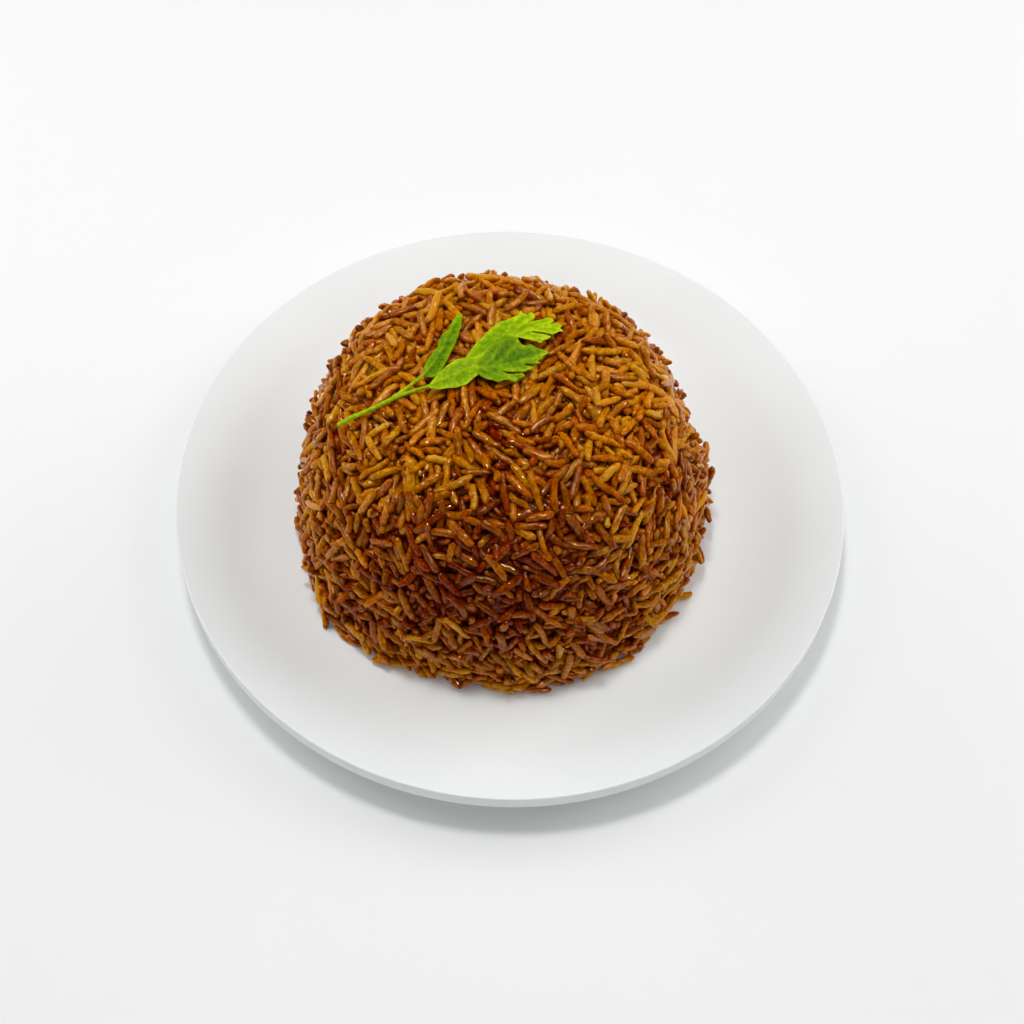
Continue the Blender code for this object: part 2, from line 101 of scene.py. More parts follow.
# Grains.
GRAIN_LENGTH = 12.2 * MM
GRAIN_WIDTH = 2.75 * MM
GRAIN_FLATNESS = 0.88  # thickness as a share of the width
GRAIN_FORMS = 16  # in each piece
GRAIN_BENDS = (0.25 * MM, 0.6 * MM, 1.0 * MM, 1.6 * MM)
BEND_CHANCES = (0.3, 0.35, 0.25, 0.1)
END_POWERS = (2.6, 5.5)  # from pointed ends to blunt ones
GRAIN_LUMPS = ((4, 1, 0.06), (8, -2, 0.07), (13, 2, 0.06), (18, 3, 0.05))  # along, around, size
LENGTH_SCATTER = 0.13  # lengths and widths as shares of the usual ones
LENGTH_RANGE = (0.68, 1.32)
WIDTH_SCATTER = 0.07
WIDTH_RANGE = (0.82, 1.18)
BREADTH_RANGE = (0.92, 1.06)  # as a share of the usual width for its thickness
BROKEN_LENGTHS = (0.42, 0.62)  # of the grains that are broken short
BROKEN_SHARE = 0.08
CLEAR_OF_PLATE = 0.05 * MM

# Settling: at each step rods give way by shares of their overlaps, of what stands out of the
# outline and of what reaches into the plate, and drift towards their own depths.
ROD_RADIUS = 1.0 * MM
NEIGHBOUR_RANGE = 12.5 * MM
SETTLING_STEPS = 90
STEPS_PER_SEARCH = 15
PUSH_SHARE = 0.42
INWARD_SHARE = 0.6
UPWARD_SHARE = 0.8
MOVE_SHARE = 0.6
TURN_SHARE = 0.8
DRIFT_SHARE = 0.07
LARGEST_MOVE = 0.7 * MM
LARGEST_TURN = 0.12

# Layers: count of places, depth of the grains' middles below the outline, how far they may tilt
# in degrees, and the turn of the first place.
LAYERS = (
    {"count": 1180, "depth": 0.9 * MM, "tilt": 30, "first_turn": 0.7},
    {"count": 1300, "depth": 2.6 * MM, "tilt": 30, "first_turn": 2.9},
    {"count": 1250, "depth": 4.3 * MM, "tilt": 20, "first_turn": 4.1},
)
DEPTH_SCATTER = 0.6 * MM
LEAST_DEPTH = 0.2 * MM
PLACE_SCATTER = 0.5 * MM
CORE_DEPTH = 3.2 * MM  # of the sticky mass between the grains
LEAST_CORE_DEPTH = 1.2 * MM
CORE_ROWS = 180
CORE_COLUMNS = 520
LUMP_HEIGHT = 0.45 * MM
LUMP_SIZES = (2.4 * MM, 5 * MM)
SINK_HEIGHT = 0.8 * MM  # of the patches where the grains lie deeper in it or stand clear
SINK_SIZES = (9 * MM, 22 * MM)
CREVICE_SHADE_DEPTH = 6 * MM  # depth at which the painted shade of the crevices is darkest
HOLLOW_SHARE = 0.27  # share of the outermost grains missing, in patches
HOLLOW_SIZES = (8 * MM, 18 * MM)
RISES = (0.3 * MM, 1.1 * MM, 2.1 * MM)  # how far an outer grain may stand out of the outline
RISE_CHANCES = (0.40, 0.35, 0.25)
TIP_RISE = 1.5 * MM  # how much further its tips may
INNER_RISE = -0.6 * MM  # of the other layers, which stay under the outline
BASE_BAND = 8 * MM  # height of the grains that lie nearly level round the base
BASE_TURN_SPREAD = 0.45  # radians
BASE_TILT_SHARE = 0.7
CROWN_HEIGHT = 70 * MM  # above it the grains lie flatter and without hollows
CROWN_TILT_SHARE = 0.6

# Usual direction of the grains on the front: azimuth, turn from level, how wide it reaches, all
# in degrees.
LEANS = ((232, 118, 30), (272, 138, 26), (318, 18, 26))
LEAN_SPREAD = radians(42)
LEAN_SHARE = 0.75  # share of the grains that follow it

# Grains that break the heap's outline: azimuth, height over the base, turn from level and tilt
# of one tip outwards, all angles in degrees, and how far the grain stands out of the outline.
STRAGGLERS = (
    (272, 1.4 * MM, 0, 10, 1.2 * MM),
    (281, 1.4 * MM, 3, 12, 1.6 * MM),
    (305, 1.7 * MM, 3, 14, 1.3 * MM),
    (238, 3.0 * MM, 30, 20, 1.2 * MM),
    (218, 3.6 * MM, -32, 24, 2.2 * MM),
    (213, 9.0 * MM, -30, 15, 1.2 * MM),
    (2, 21 * MM, 62, 16, 2.0 * MM),
    (7, 26 * MM, 20, 14, 2.2 * MM),
    (5, 31 * MM, -40, 12, 1.2 * MM),
    (358, 14 * MM, -55, 14, 0.8 * MM),
    (46, 66 * MM, 70, 24, 0.6 * MM),
    (50, 63 * MM, 40, 16, 0.6 * MM),
    (88, 70 * MM, 64, 18, 0.4 * MM),
)
STRAGGLER_LENGTH = 1.04 * GRAIN_LENGTH

# Sprig. Its points are in mm: (x, y) for outlines and veins, (x, y, height over the heap's outline)
# for stems and for the rises of a blade, which runs smoothly between them, each over its reach.
STEM_POINTS = (
    (-57.1, -14.9, 4.4), (-52.8, -14.1, 3.5), (-47.6, -13.3, 2.8), (-42.2, -11.0, 2.3),
    (-36.2, -8.2, 2.1), (-31.0, -6.4, 2.2), (-26.0, -4.6, 2.5), (-21.0, -1.8, 2.7),
)
STEM_RADIUS = 0.78 * MM
SIDE_STEM_POINTS = (
    (-39.5, -9.4, 2.1), (-36.0, -6.8, 2.2), (-32.6, -3.6, 2.4), (-29.6, -0.6, 2.6), (-27.4, 3.4, 2.4),
)
SIDE_STEM_RADIUS = 0.6 * MM
STEM_TAPER = 0.55  # radius at the far end, as a share
STEM_RIBS = 7
RIB_HEIGHT = 0.07  # as a share of the radius
STEM_BANDS = 60
STEM_SIDES = 42
STEM_SMOOTHINGS = 12
BLADE_STEP = 0.6 * MM  # between the points of a leaf blade
BLADE_SCATTER = 0.18  # of those points, as a share of the step
BLADE_THICKNESS = 0.32 * MM
CORNER_CUT = 0.14  # share of each side of an outline
VEIN_WIDTH = 0.55 * MM
VEIN_DEPTH = 0.35 * MM
WAVE_HEIGHT = 0.22 * MM  # of the wavy margins
WAVE_REACH = 1.4 * MM
MARGIN_REACH = 1.1 * MM  # of their paler green, which is a painted highlight
# The blades' tones are painted light and shade: paler for the blades in light, darker for those in shade.
BLADES = {
    "coriander_side_leaflet": {
        "outline": (
            (-30.1, -0.9), (-30.0, 1.6), (-29.0, 4.8), (-27.5, 7.8), (-25.9, 10.0), (-25.6, 13.5),
            (-24.4, 16.2), (-23.0, 17.5), (-22.5, 19.1), (-21.5, 22.1), (-20.2, 25.0), (-19.0, 25.5),
            (-18.5, 23.3), (-18.6, 19.5), (-19.4, 14.9), (-20.8, 10.0), (-22.1, 6.4), (-23.3, 2.8),
            (-24.8, -0.6), (-26.8, -1.9),
        ),
        "rises": (
            (-29.9, -0.7, 2.3), (-27.9, 2.4, 1.7), (-25.9, 6.4, 1.5), (-24.1, 11.1, 1.6), (-22.7, 16.5, 1.9),
            (-20.5, 22.5, 2.6), (-29.6, 4.6, 3.5), (-27.2, 9.6, 4.3), (-24.8, 16.0, 4.0), (-23.6, 1.8, 3.2),
            (-21.0, 8.5, 3.6), (-18.8, 17.0, 3.5), (-18.8, 25.0, 2.6),
        ),
        "veins": (((-29.9, -0.7), (-27.9, 2.4), (-25.9, 6.4), (-24.1, 11.1), (-22.7, 16.5), (-19.6, 24.6)),),
        "reach": 2.6,
        "tone": 0.34,
    },
    "coriander_leaf_body": {
        "outline": (
            (-28.4, -5.8), (-27.2, -3.8), (-25.4, -1.1), (-22.4, 2.4), (-19.6, 4.9), (-15.7, 5.7),
            (-13.1, 6.2), (-10.9, 6.8), (-8.6, 5.9), (-9.0, 3.0), (-11.7, 0.1), (-13.1, -1.5),
            (-15.7, -4.2), (-19.0, -5.4), (-21.8, -6.0), (-25.1, -6.6),
        ),
        "rises": (
            (-28.0, -5.2, 2.4), (-24.5, -3.4, 2.7), (-20.0, -0.4, 2.9), (-15.0, 2.0, 3.1), (-10.0, 5.0, 3.2),
            (-24.0, 0.8, 3.4), (-18.0, 5.2, 3.9), (-22.0, -6.0, 2.0), (-16.0, -4.0, 2.1), (-12.0, 0.0, 3.0),
        ),
        "veins": (((-28.0, -5.4), (-24.5, -3.2), (-20.0, -0.4), (-15.0, 2.2), (-9.0, 5.2)),),
        "reach": 3.2,
        "tone": 0.60,
    },
    "coriander_upper_lobe": {
        "outline": (
            (-17.6, 4.0), (-15.2, 8.8), (-13.0, 13.0), (-10.9, 15.4), (-9.0, 18.3), (-7.1, 20.6),
            (-5.2, 22.1), (-3.4, 22.8), (-1.4, 24.1), (0.3, 25.0), (0.9, 27.4), (1.7, 25.5),
            (3.2, 25.2), (4.5, 26.6), (5.7, 25.8), (5.8, 24.3), (4.6, 22.7), (3.1, 21.8),
            (5.1, 22.1), (7.0, 23.2), (8.8, 24.1), (9.9, 25.0), (11.7, 24.4), (12.2, 23.3),
            (10.4, 21.7), (12.4, 22.2), (13.5, 22.9), (14.9, 21.8), (14.2, 20.9), (15.5, 19.3),
            (13.8, 18.7), (12.5, 17.7), (11.4, 17.2), (8.5, 17.5), (4.8, 18.3), (4.8, 17.6),
            (7.6, 16.7), (9.9, 16.5), (11.4, 15.9), (9.9, 14.8), (8.6, 14.1), (7.9, 12.7),
            (6.4, 13.5), (5.3, 13.4), (4.2, 14.4), (2.4, 14.7), (0.6, 15.1), (-1.6, 14.8),
            (-3.3, 13.8), (-5.5, 12.0), (-7.6, 10.0), (-10.1, 7.5), (-12.7, 5.0), (-15.0, 2.4),
        ),
        "rises": (
            (-16.0, 4.0, 3.0), (-10.5, 8.5, 3.2), (-5.0, 13.0, 3.4), (1.0, 17.5, 3.5), (7.0, 20.0, 3.2),
            (14.0, 20.5, 2.6), (-12.5, 13.0, 2.4), (-6.0, 20.0, 2.5), (1.0, 25.0, 2.8), (11.5, 24.0, 2.3),
            (-4.0, 10.6, 2.6), (3.0, 13.4, 3.4), (9.5, 13.6, 4.2),
        ),
        "veins": (
            ((-17.0, 3.2), (-10.5, 8.5), (-4.0, 13.6), (3.0, 17.8), (9.0, 20.6), (14.6, 20.6)),
            ((-7.5, 11.0), (-3.5, 17.5), (0.2, 24.6)), ((-4.0, 13.6), (0.5, 19.6), (4.8, 24.8)),
            ((2.0, 17.2), (6.5, 20.4), (11.2, 23.4)), ((-4.0, 13.6), (2.0, 15.0), (10.4, 15.2)),
        ),
        "reach": 3.4,
        "tone": 0.62,
    },
    "coriander_lower_lobe": {
        "outline": (
            (-12.9, 3.6), (-10.9, 5.9), (-9.2, 8.5), (-7.2, 11.4), (-5.5, 13.4), (-3.8, 14.4), (-1.6, 14.5),
            (0.0, 13.8), (1.0, 12.4), (1.8, 11.4), (3.2, 11.1), (4.5, 11.9), (5.7, 11.2), (6.9, 10.5),
            (8.7, 10.5), (11.0, 9.7), (9.8, 8.7), (8.4, 7.8), (9.0, 6.7), (7.5, 6.3), (7.0, 5.4), (8.4, 4.9),
            (6.0, 4.6), (2.6, 4.5), (3.4, 3.8), (5.6, 3.3), (6.4, 2.6), (4.3, 2.1), (2.8, 1.2), (-0.7, 1.0),
            (-4.8, 1.2), (-2.8, 0.2), (-0.2, 0.1), (2.4, 0.5), (3.5, -0.7), (1.2, -1.5), (-0.2, -3.1),
            (-1.8, -2.3), (-3.6, -2.3), (-5.4, -3.2), (-6.8, -2.6), (-9.2, -2.2), (-11.5, -0.8), (-12.9, 1.3),
        ),
        "rises": (
            (-12.5, 1.5, 3.3), (-7.0, 2.0, 3.2), (-1.0, 4.0, 3.0), (5.0, 6.5, 2.9), (10.0, 9.0, 3.3),
            (-9.5, -2.2, 2.9), (-3.0, -2.4, 3.1), (2.2, -2.0, 3.3), (5.2, 2.6, 3.4), (-9.4, 6.8, 5.2),
            (-5.6, 10.8, 5.7), (-1.0, 13.0, 5.2), (2.6, 11.4, 4.4), (-4.0, 7.0, 3.7), (1.0, 8.6, 3.5),
        ),
        "veins": (
            ((-14.0, 1.6), (-8.0, 2.8), (-1.0, 4.6), (4.0, 6.4), (9.6, 9.0)),
            ((-11.0, 2.2), (-5.0, -0.4), (1.6, -2.0)), ((-8.0, 2.8), (-1.5, 2.4), (4.8, 2.6)),
            ((-6.0, 3.4), (-3.0, 7.6), (0.6, 12.6)), ((-10.0, 2.6), (-7.4, 6.6), (-5.2, 11.6)),
        ),
        "reach": 2.8,
        "tone": 0.40,
    },
}

# Painted shade on the heap's front, where less light falls: azimuth and reach in degrees, height and
# reach over the base. Painted light makes the far side paler, and the right a little paler.
FRONT_SHADE_AZIMUTH = 268
FRONT_SHADE_REACH = 43
FRONT_SHADE_HEIGHT = 51 * MM
FRONT_SHADE_HEIGHT_REACH = 32 * MM
USUAL_TONE = 0.645
FRONT_PAINTED_SHADE = 0.46
FAR_PAINTED_LIGHT = 0.07
PALE_SHIFT = 0.4  # share of the paleness that the heap's middle line already has
PALE_SLANT = 0.35  # how much the paleness turns to the right
PALE_REACH = 40 * MM
PATCH_TONE = 0.05  # how far tones vary from patch to patch, clump to clump and
CLUMP_TONE = 0.07  # grain to grain
OWN_TONE = 0.14
PATCH_SIZES = (22 * MM, 55 * MM)
CLUMP_SIZES = (8 * MM, 18 * MM)

CLEAR_OF_SPRIG = 4.5 * MM  # grains nearer than this to the sprig are kept low
UNDER_SPRIG_RISE = 0.2 * MM
SPRIG_LOWERING = 0.6 * MM  # of all the heights above, so that the sprig rests on the grains

# Light, with powers in watts. The glint lamps only glint in the moist grains, and are given by
# azimuth in degrees, distance from the plate's axis and height in metres.
GLINT_LAMPS = (
    (60, 0.45, 1.0), (120, 0.25, 1.1), (180, 0.50, 1.0), (235, 0.20, 1.1), (290, 0.25, 1.0), (340, 0.50, 1.0)
)
GLINT_POWER = 5.0
OVERHEAD_POWER = 3.7
LEFT_POWER = 4.3
RIGHT_POWER = 5.3
ROOM_LIGHT = 0.37  # strength, of the same white from all round
FLOOR_REACH = 3.0


# ---- nodes, meshes and directions

def linear(level):
    """An 8-bit display level as linear light."""
    share = level / 255
    return share / 12.92 if share <= 0.04045 else ((share + 0.055) / 1.055) ** 2.4


def colour(red, green, blue):
    """A colour given in 8-bit display levels, as linear light."""
    return (linear(red), linear(green), linear(blue), 1.0)


def feed(tree, node, inputs):
    """Set a node's inputs, or link them to other nodes' outputs."""
    for name, value in inputs.items():
        if isinstance(value, bpy.types.NodeSocket):
            tree.links.new(value, node.inputs[name])
        else:
            node.inputs[name].default_value = value


def add_node(tree, kind, inputs, **settings):
    """A new node with its settings made and its inputs fed."""
    made = tree.nodes.new("ShaderNode" + kind)
    for name, value in settings.items():
        setattr(made, name, value)
    feed(tree, made, inputs)
    return made


def noise(tree, place, size, detail=2.0, roughness=0.5):
    """Noise from 0 to 1 with features of a size in metres."""
    inputs = {"Vector": place, "Scale": 1 / size, "Detail": detail, "Roughness": roughness}
    return add_node(tree, "TexNoise", inputs).outputs["Fac"]


def maths(tree, operation, first, second=0.0, third=0.0, clamp=False):
    """The result of a Math node."""
    inputs = {0: first, 1: second, 2: third}
    return add_node(tree, "Math", inputs, operation=operation, use_clamp=clamp).outputs[0]


def ramp(tree, share, stops):
    """Colours that change with a share; stops are its value and red, green and blue levels."""
    made = add_node(tree, "ValToRGB", {"Fac": share})
    points = made.color_ramp.elements
    while len(points) < len(stops):
        points.new(1.0)
    for point, (place, *levels) in zip(points, stops):
        point.position = place
        point.color = colour(*levels)
    return made.outputs["Color"]


def spread(tree, share, low, high, from_low=0.0, from_high=1.0, ease="LINEAR"):
    """A share mapped to a range."""
    inputs = {"Value": share, "From Min": from_low, "From Max": from_high, "To Min": low, "To Max": high}
    return add_node(tree, "MapRange", inputs, interpolation_type=ease).outputs["Result"]


def blend_colours(tree, share, first, second):
    """Two colours blended by a share."""
    inputs = {0: share, 6: first, 7: second}
    return add_node(tree, "Mix", inputs, data_type="RGBA").outputs[2]


def new_material(name):
    """A material with its node tree, its shader and the object's own coordinates."""
    material = bpy.data.materials.new(name)
    material.use_nodes = True
    tree = material.node_tree
    shader = tree.nodes["Principled BSDF"]
    place = add_node(tree, "TexCoord", {}).outputs["Object"]
    return material, tree, shader, place


def bump(tree, height, strength, distance):
    """A bump from a height."""
    inputs = {"Height": height, "Strength": strength, "Distance": distance}
    return add_node(tree, "Bump", inputs).outputs["Normal"]


def attribute(tree, name):
    """A number kept on the mesh's points."""
    return add_node(tree, "Attribute", {}, attribute_name=name).outputs["Fac"]


def new_mesh(name, points, triangles, numbers):
    """A smooth mesh, with named numbers kept on its points."""
    mesh = bpy.data.meshes.new(name)
    mesh.vertices.add(len(points))
    mesh.vertices.foreach_set("co", np.asarray(points, dtype=np.float32).ravel())
    mesh.loops.add(3 * len(triangles))
    mesh.loops.foreach_set("vertex_index", np.asarray(triangles, dtype=np.int32).ravel())
    mesh.polygons.add(len(triangles))
    mesh.polygons.foreach_set("loop_start", np.arange(0, 3 * len(triangles), 3, dtype=np.int32))
    mesh.polygons.foreach_set("use_smooth", np.ones(len(triangles), dtype=bool))
    mesh.update(calc_edges=True)
    for key, values in numbers.items():
        layer = mesh.attributes.new(key, "FLOAT", "POINT")
        layer.data.foreach_set("value", np.asarray(values, dtype=np.float32))
    return mesh


def add_object(name, data):
    """A new object in the scene."""
    made = bpy.data.objects.new(name, data)
    bpy.context.scene.collection.objects.link(made)
    return made


def add_piece(name, mesh, material, node):
    """A piece of the scene that stands for a CAD node."""
    piece = add_object(name, mesh)
    mesh.materials.append(material)
    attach(piece, "root")
    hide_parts(node)
    return piece


def grid_triangles(rows, columns):
    """Triangles of a grid of points kept row by row, whose last column joins its first."""
    row, column = np.meshgrid(np.arange(rows - 1), np.arange(columns), indexing="ij")
    after = (column + 1) % columns
    low, low_after = row * columns + column, row * columns + after
    high, high_after = low + columns, low_after + columns
    first = np.stack([low, low_after, high_after], axis=-1).reshape(-1, 3)
    second = np.stack([low, high_after, high], axis=-1).reshape(-1, 3)
    return np.concatenate([first, second])


def lengths(vectors):
    """The length of each vector."""
    return np.linalg.norm(vectors, axis=-1)


def products(first, second):
    """The scalar product of each pair of vectors."""
    return np.einsum("ij,ij->i", first, second)


def turned(first, second, angles):
    """Each first direction turned towards the second by an angle."""
    return first * np.cos(angles)[:, None] + second * np.sin(angles)[:, None]


def circle(steps):
    """Evenly spaced angles round a circle."""
    return np.arange(steps) * 2 * pi / steps


def about_axis(radius, azimuth, height):
    """Points round the Z axis."""
    across = radius * np.cos(azimuth), radius * np.sin(azimuth)
    return np.stack(np.broadcast_arrays(*across, height), axis=-1)


def ring_triangles(rings, sides):
    """Triangles of closed rings of points, with a fan at each end to the two points after them."""
    side = np.arange(sides)
    after = np.roll(side, -1)
    last = (rings - 1) * sides
    first_fan = np.stack([after, side, np.full(sides, rings * sides)], axis=1)
    last_fan = np.stack([last + side, last + after, np.full(sides, rings * sides + 1)], axis=1)
    return np.concatenate([grid_triangles(rings, sides), first_fan, last_fan])


def turned_points(radius, height, steps):
    """Points of a section turned about the Z axis, ring by ring."""
    return about_axis(radius[:, None], circle(steps), height[:, None]).reshape(-1, 3)


# ---- heap's outline

def outline_gradient(points):
    """How the outline's formula changes at points (relative to the heap's base centre)."""
    across = np.maximum(np.hypot(points[..., 0], points[..., 1]), 1e-9)
    steep = SIDE_POWER * across ** (SIDE_POWER - 1) / MOUND_RADIUS ** SIDE_POWER
    height = np.maximum(points[..., 2], 1e-6)
    rise = CROWN_POWER * height ** (CROWN_POWER - 1) / MOUND_HEIGHT ** CROWN_POWER
    return np.stack([steep * points[..., 0] / across, steep * points[..., 1] / across, rise], axis=-1)


def swell(points):
    """How far the heap's swells and hollows move points of its outline, outwards."""
    azimuth = np.arctan2(points[..., 1], points[..., 0])
    share = points[..., 2] / MOUND_HEIGHT
    total = np.zeros(points.shape[:-1])
    for degrees, height_share, amount in SWELLS:
        turn = azimuth - radians(degrees)
        turn = turn - 2 * pi * np.round(turn / (2 * pi))
        distance = (turn / SWELL_SPREAD) ** 2 + ((share - height_share) / SWELL_HEIGHT_SPREAD) ** 2
        total += amount * np.exp(-distance)
    return total


def depth_and_normal(points):
    """Depth of points below the swollen outline, and the outward direction there."""
    across = np.hypot(points[..., 0], points[..., 1]) / MOUND_RADIUS
    height = np.maximum(points[..., 2], 0) / MOUND_HEIGHT
    value = across ** SIDE_POWER + height ** CROWN_POWER
    gradient = outline_gradient(points)
    size = lengths(gradient)
    return (1 - value) / size + swell(points), gradient / size[..., None]


def over_heap(x, y, rise):
    """Points at a height over the heap's outline, at places seen from above."""
    across = np.hypot(x - MOUND_CENTRE[0], y - MOUND_CENTRE[1]) / MOUND_RADIUS
    height = MOUND_HEIGHT * np.maximum(0, 1 - across ** SIDE_POWER) ** (1 / CROWN_POWER)
    return np.stack([x, y, MOUND_BASE + height + rise - SPRIG_LOWERING], axis=-1)


def heap_section():
    """Radius and height of the heap's outline, from its top to its base, with its steps' lengths."""
    way = np.linspace(0, 1, 1500)
    angle = pi / 2 * (1 - way ** 3)
    radius = MOUND_RADIUS * np.cos(angle) ** (2 / SIDE_POWER)
    height = MOUND_HEIGHT * np.sin(angle) ** (2 / CROWN_POWER)
    return radius, height, np.hypot(np.diff(radius), np.diff(height))


def places_on_heap(count, first_turn):
    """Evenly spread points on the heap's outline, from its top down to its base."""
    radius, height, steps = heap_section()
    area = np.concatenate([[0], np.cumsum((radius[1:] + radius[:-1]) / 2 * steps)])
    wanted = (np.arange(count) + 0.5) / count * area[-1]
    azimuth = first_turn + np.arange(count) * GOLDEN_ANGLE
    return about_axis(np.interp(wanted, area, radius), azimuth, np.interp(wanted, area, height))


def directions_on_heap(normals, turns):
    """Directions along the surface, turned from level by an angle for each place."""
    level = np.stack([-normals[:, 1], normals[:, 0], np.zeros(len(normals))], axis=1)
    level /= lengths(level)[:, None]
    return turned(level, np.cross(normals, level), turns)


# ---- laying the grains

def ripples(places, draws, sizes, waves):
    """A sum of waves through space, about one high, for patches and unevenness."""
    total = np.zeros(len(places))
    for _ in range(waves):
        wave = draws.normal(0, 1, 3)
        wave *= 2 * pi / draws.uniform(*sizes) / np.linalg.norm(wave)
        total += np.cos(places @ wave + draws.uniform(0, 2 * pi))
    return total * sqrt(2 / waves)


def leaning_turns(places, draws):
    """Turns of grains from level: any, but drawn to the usual direction on the front."""
    turns = draws.uniform(0, pi, len(places))
    azimuth = np.degrees(np.arctan2(places[:, 1], places[:, 0])) % 360
    for middle, turn, reach in LEANS:
        pull = LEAN_SHARE * np.exp(-((azimuth - middle) / reach) ** 2)
        leaning = draws.random(len(places)) < pull
        turns[leaning] = radians(turn) + draws.normal(0, LEAN_SPREAD, leaning.sum())
    return turns


def layer_grains(layer, number, draws):
    """Middles, axes and sizes of the grains of one layer before they settle."""
    count = layer["count"]
    places = places_on_heap(count, layer["first_turn"])
    _, normals = depth_and_normal(places)
    depth = np.maximum(layer["depth"] + draws.normal(0, DEPTH_SCATTER, count), LEAST_DEPTH)
    turns = leaning_turns(places, draws)
    near_base = places[:, 2] < BASE_BAND
    turns[near_base] = draws.normal(0, BASE_TURN_SPREAD, near_base.sum())
    along = directions_on_heap(normals, turns)
    tilt = np.radians(draws.normal(0, layer["tilt"], count))
    tilt[near_base] *= BASE_TILT_SHARE
    on_crown = places[:, 2] > CROWN_HEIGHT
    tilt[on_crown] *= CROWN_TILT_SHARE
    middles = places + normals * (swell(places) - depth)[:, None]
    middles += draws.normal(0, PLACE_SCATTER, (count, 3))
    length = GRAIN_LENGTH * np.clip(draws.normal(1, LENGTH_SCATTER, count), *LENGTH_RANGE)
    broken = draws.random(count) < BROKEN_SHARE
    length[broken] *= draws.uniform(*BROKEN_LENGTHS, broken.sum())
    rise = draws.choice(RISES, count, p=RISE_CHANCES)
    if number > 0:
        rise = np.full(count, INNER_RISE)
    above = (places + MOUND_CENTRE)[:, :2]
    off_sprig = np.min([distance_to_line(above, line) for line in sprig_lines()], axis=0)
    under_sprig = (off_sprig < CLEAR_OF_SPRIG + length / 4) & (places[:, 2] > MOUND_HEIGHT / 2)
    rise[under_sprig] = np.minimum(rise[under_sprig], UNDER_SPRIG_RISE)
    tip_rise = np.where(under_sprig, UNDER_SPRIG_RISE, TIP_RISE)
    group = {
        "middle": middles,
        "axis": turned(along, normals, tilt),
        "length": length,
        "depth": depth,
        "rise": rise,
        "tip_rise": tip_rise,
        "layer": np.full(count, number),
        "fixed": np.zeros(count, dtype=bool),
    }
    if number > 0:
        return group
    field = ripples(places, np.random.default_rng(5), HOLLOW_SIZES, 14)
    kept = (field > np.quantile(field, HOLLOW_SHARE)) | near_base | on_crown
    return {key: values[kept] for key, values in group.items()}


def straggler_grains():
    """The grains that break the outline, which keep their places as the others settle."""
    azimuth, height, turn, tilt, outwards = np.array(STRAGGLERS).T
    radius = MOUND_RADIUS * (1 - (height / MOUND_HEIGHT) ** CROWN_POWER) ** (1 / SIDE_POWER)
    places = about_axis(radius, np.radians(azimuth), height)
    _, normals = depth_and_normal(places)
    along = directions_on_heap(normals, np.radians(turn))
    count = len(places)
    return {
        "middle": places + normals * (swell(places) + outwards - ROD_RADIUS)[:, None],
        "axis": turned(along, normals, np.radians(tilt)),
        "length": np.full(count, STRAGGLER_LENGTH),
        "depth": np.zeros(count),
        "rise": np.zeros(count),
        "tip_rise": np.zeros(count),
        "layer": np.zeros(count, dtype=int),
        "fixed": np.ones(count, dtype=bool),
    }


def close_pairs(middles):
    """Pairs of grains near enough to touch within a few steps."""
    tree = KDTree(len(middles))
    for i, middle in enumerate(middles):
        tree.insert(middle, i)
    tree.balance()
    pairs = [
        (i, j)
        for i, middle in enumerate(middles)
        for _, j, _ in tree.find_range(middle, NEIGHBOUR_RANGE)
        if j > i
    ]
    return np.array(pairs).T


def push_apart(grains, pairs, half):
    """Move and turn the rods that overlap, each by a share of the overlap."""
    first, second = pairs
    axis_1, axis_2 = grains["axis"][first], grains["axis"][second]
    between = grains["middle"][first] - grains["middle"][second]
    cosine = products(axis_1, axis_2)
    reach_1 = products(axis_1, between)
    reach_2 = products(axis_2, between)
    room = np.maximum(1 - cosine ** 2, 1e-3)
    along_1 = np.clip((cosine * reach_2 - reach_1) / room, -half[first], half[first])
    along_2 = np.clip(reach_2 + along_1 * cosine, -half[second], half[second])
    along_1 = np.clip(cosine * along_2 - reach_1, -half[first], half[first])
    gap = between + along_1[:, None] * axis_1 - along_2[:, None] * axis_2
    distance = np.maximum(lengths(gap), 1e-6)
    overlap = 2 * ROD_RADIUS - distance
    touching = overlap > 0
    push = gap[touching] / distance[touching, None] * (PUSH_SHARE * overlap[touching])[:, None]
    count = len(half)
    # A rod that is pushed near its end turns more and moves less.
    move = np.zeros((count, 3))
    turn = np.zeros((count, 3))
    for ends, along, sign in ((first, along_1, 1), (second, along_2, -1)):
        ends, along = ends[touching], along[touching]
        lever = 3 * along / (half[ends] ** 2 + 3 * along ** 2)
        share = half[ends] ** 2 / (half[ends] ** 2 + 3 * along ** 2)
        for k in range(3):
            move[:, k] += sign * np.bincount(ends, push[:, k] * share, count)
            turn[:, k] += sign * np.bincount(ends, push[:, k] * lever, count)
    free = ~grains["fixed"]
    size = np.maximum(lengths(move) / LARGEST_MOVE, 1)
    grains["middle"][free] += (move / size[:, None])[free]
    grains["axis"][free] += np.clip(turn, -LARGEST_TURN, LARGEST_TURN)[free]


def keep_inside(grains, half):
    """Bring grains back under the outline and over the plate, and drift them to their own depth."""
    free = ~grains["fixed"]
    middle, axis = grains["middle"], grains["axis"]
    for end in (-1, 0, 1):
        point = middle + axis * (half * end)[:, None]
        depth, normal = depth_and_normal(point)
        spare = grains["rise"] + (grains["tip_rise"] if end else 0)
        out = np.maximum(ROD_RADIUS - spare - depth, 0)
        low = np.maximum(ROD_RADIUS - point[:, 2], 0)
        shift = -normal * (INWARD_SHARE * out)[:, None]
        shift[:, 2] += UPWARD_SHARE * low
        middle[free] += MOVE_SHARE * shift[free]
        if end:
            axis[free] += (TURN_SHARE * end * shift / half[:, None])[free]
    depth, normal = depth_and_normal(middle)
    middle[free] += (normal * (DRIFT_SHARE * (depth - grains["depth"]))[:, None])[free]
    axis /= lengths(axis)[:, None]


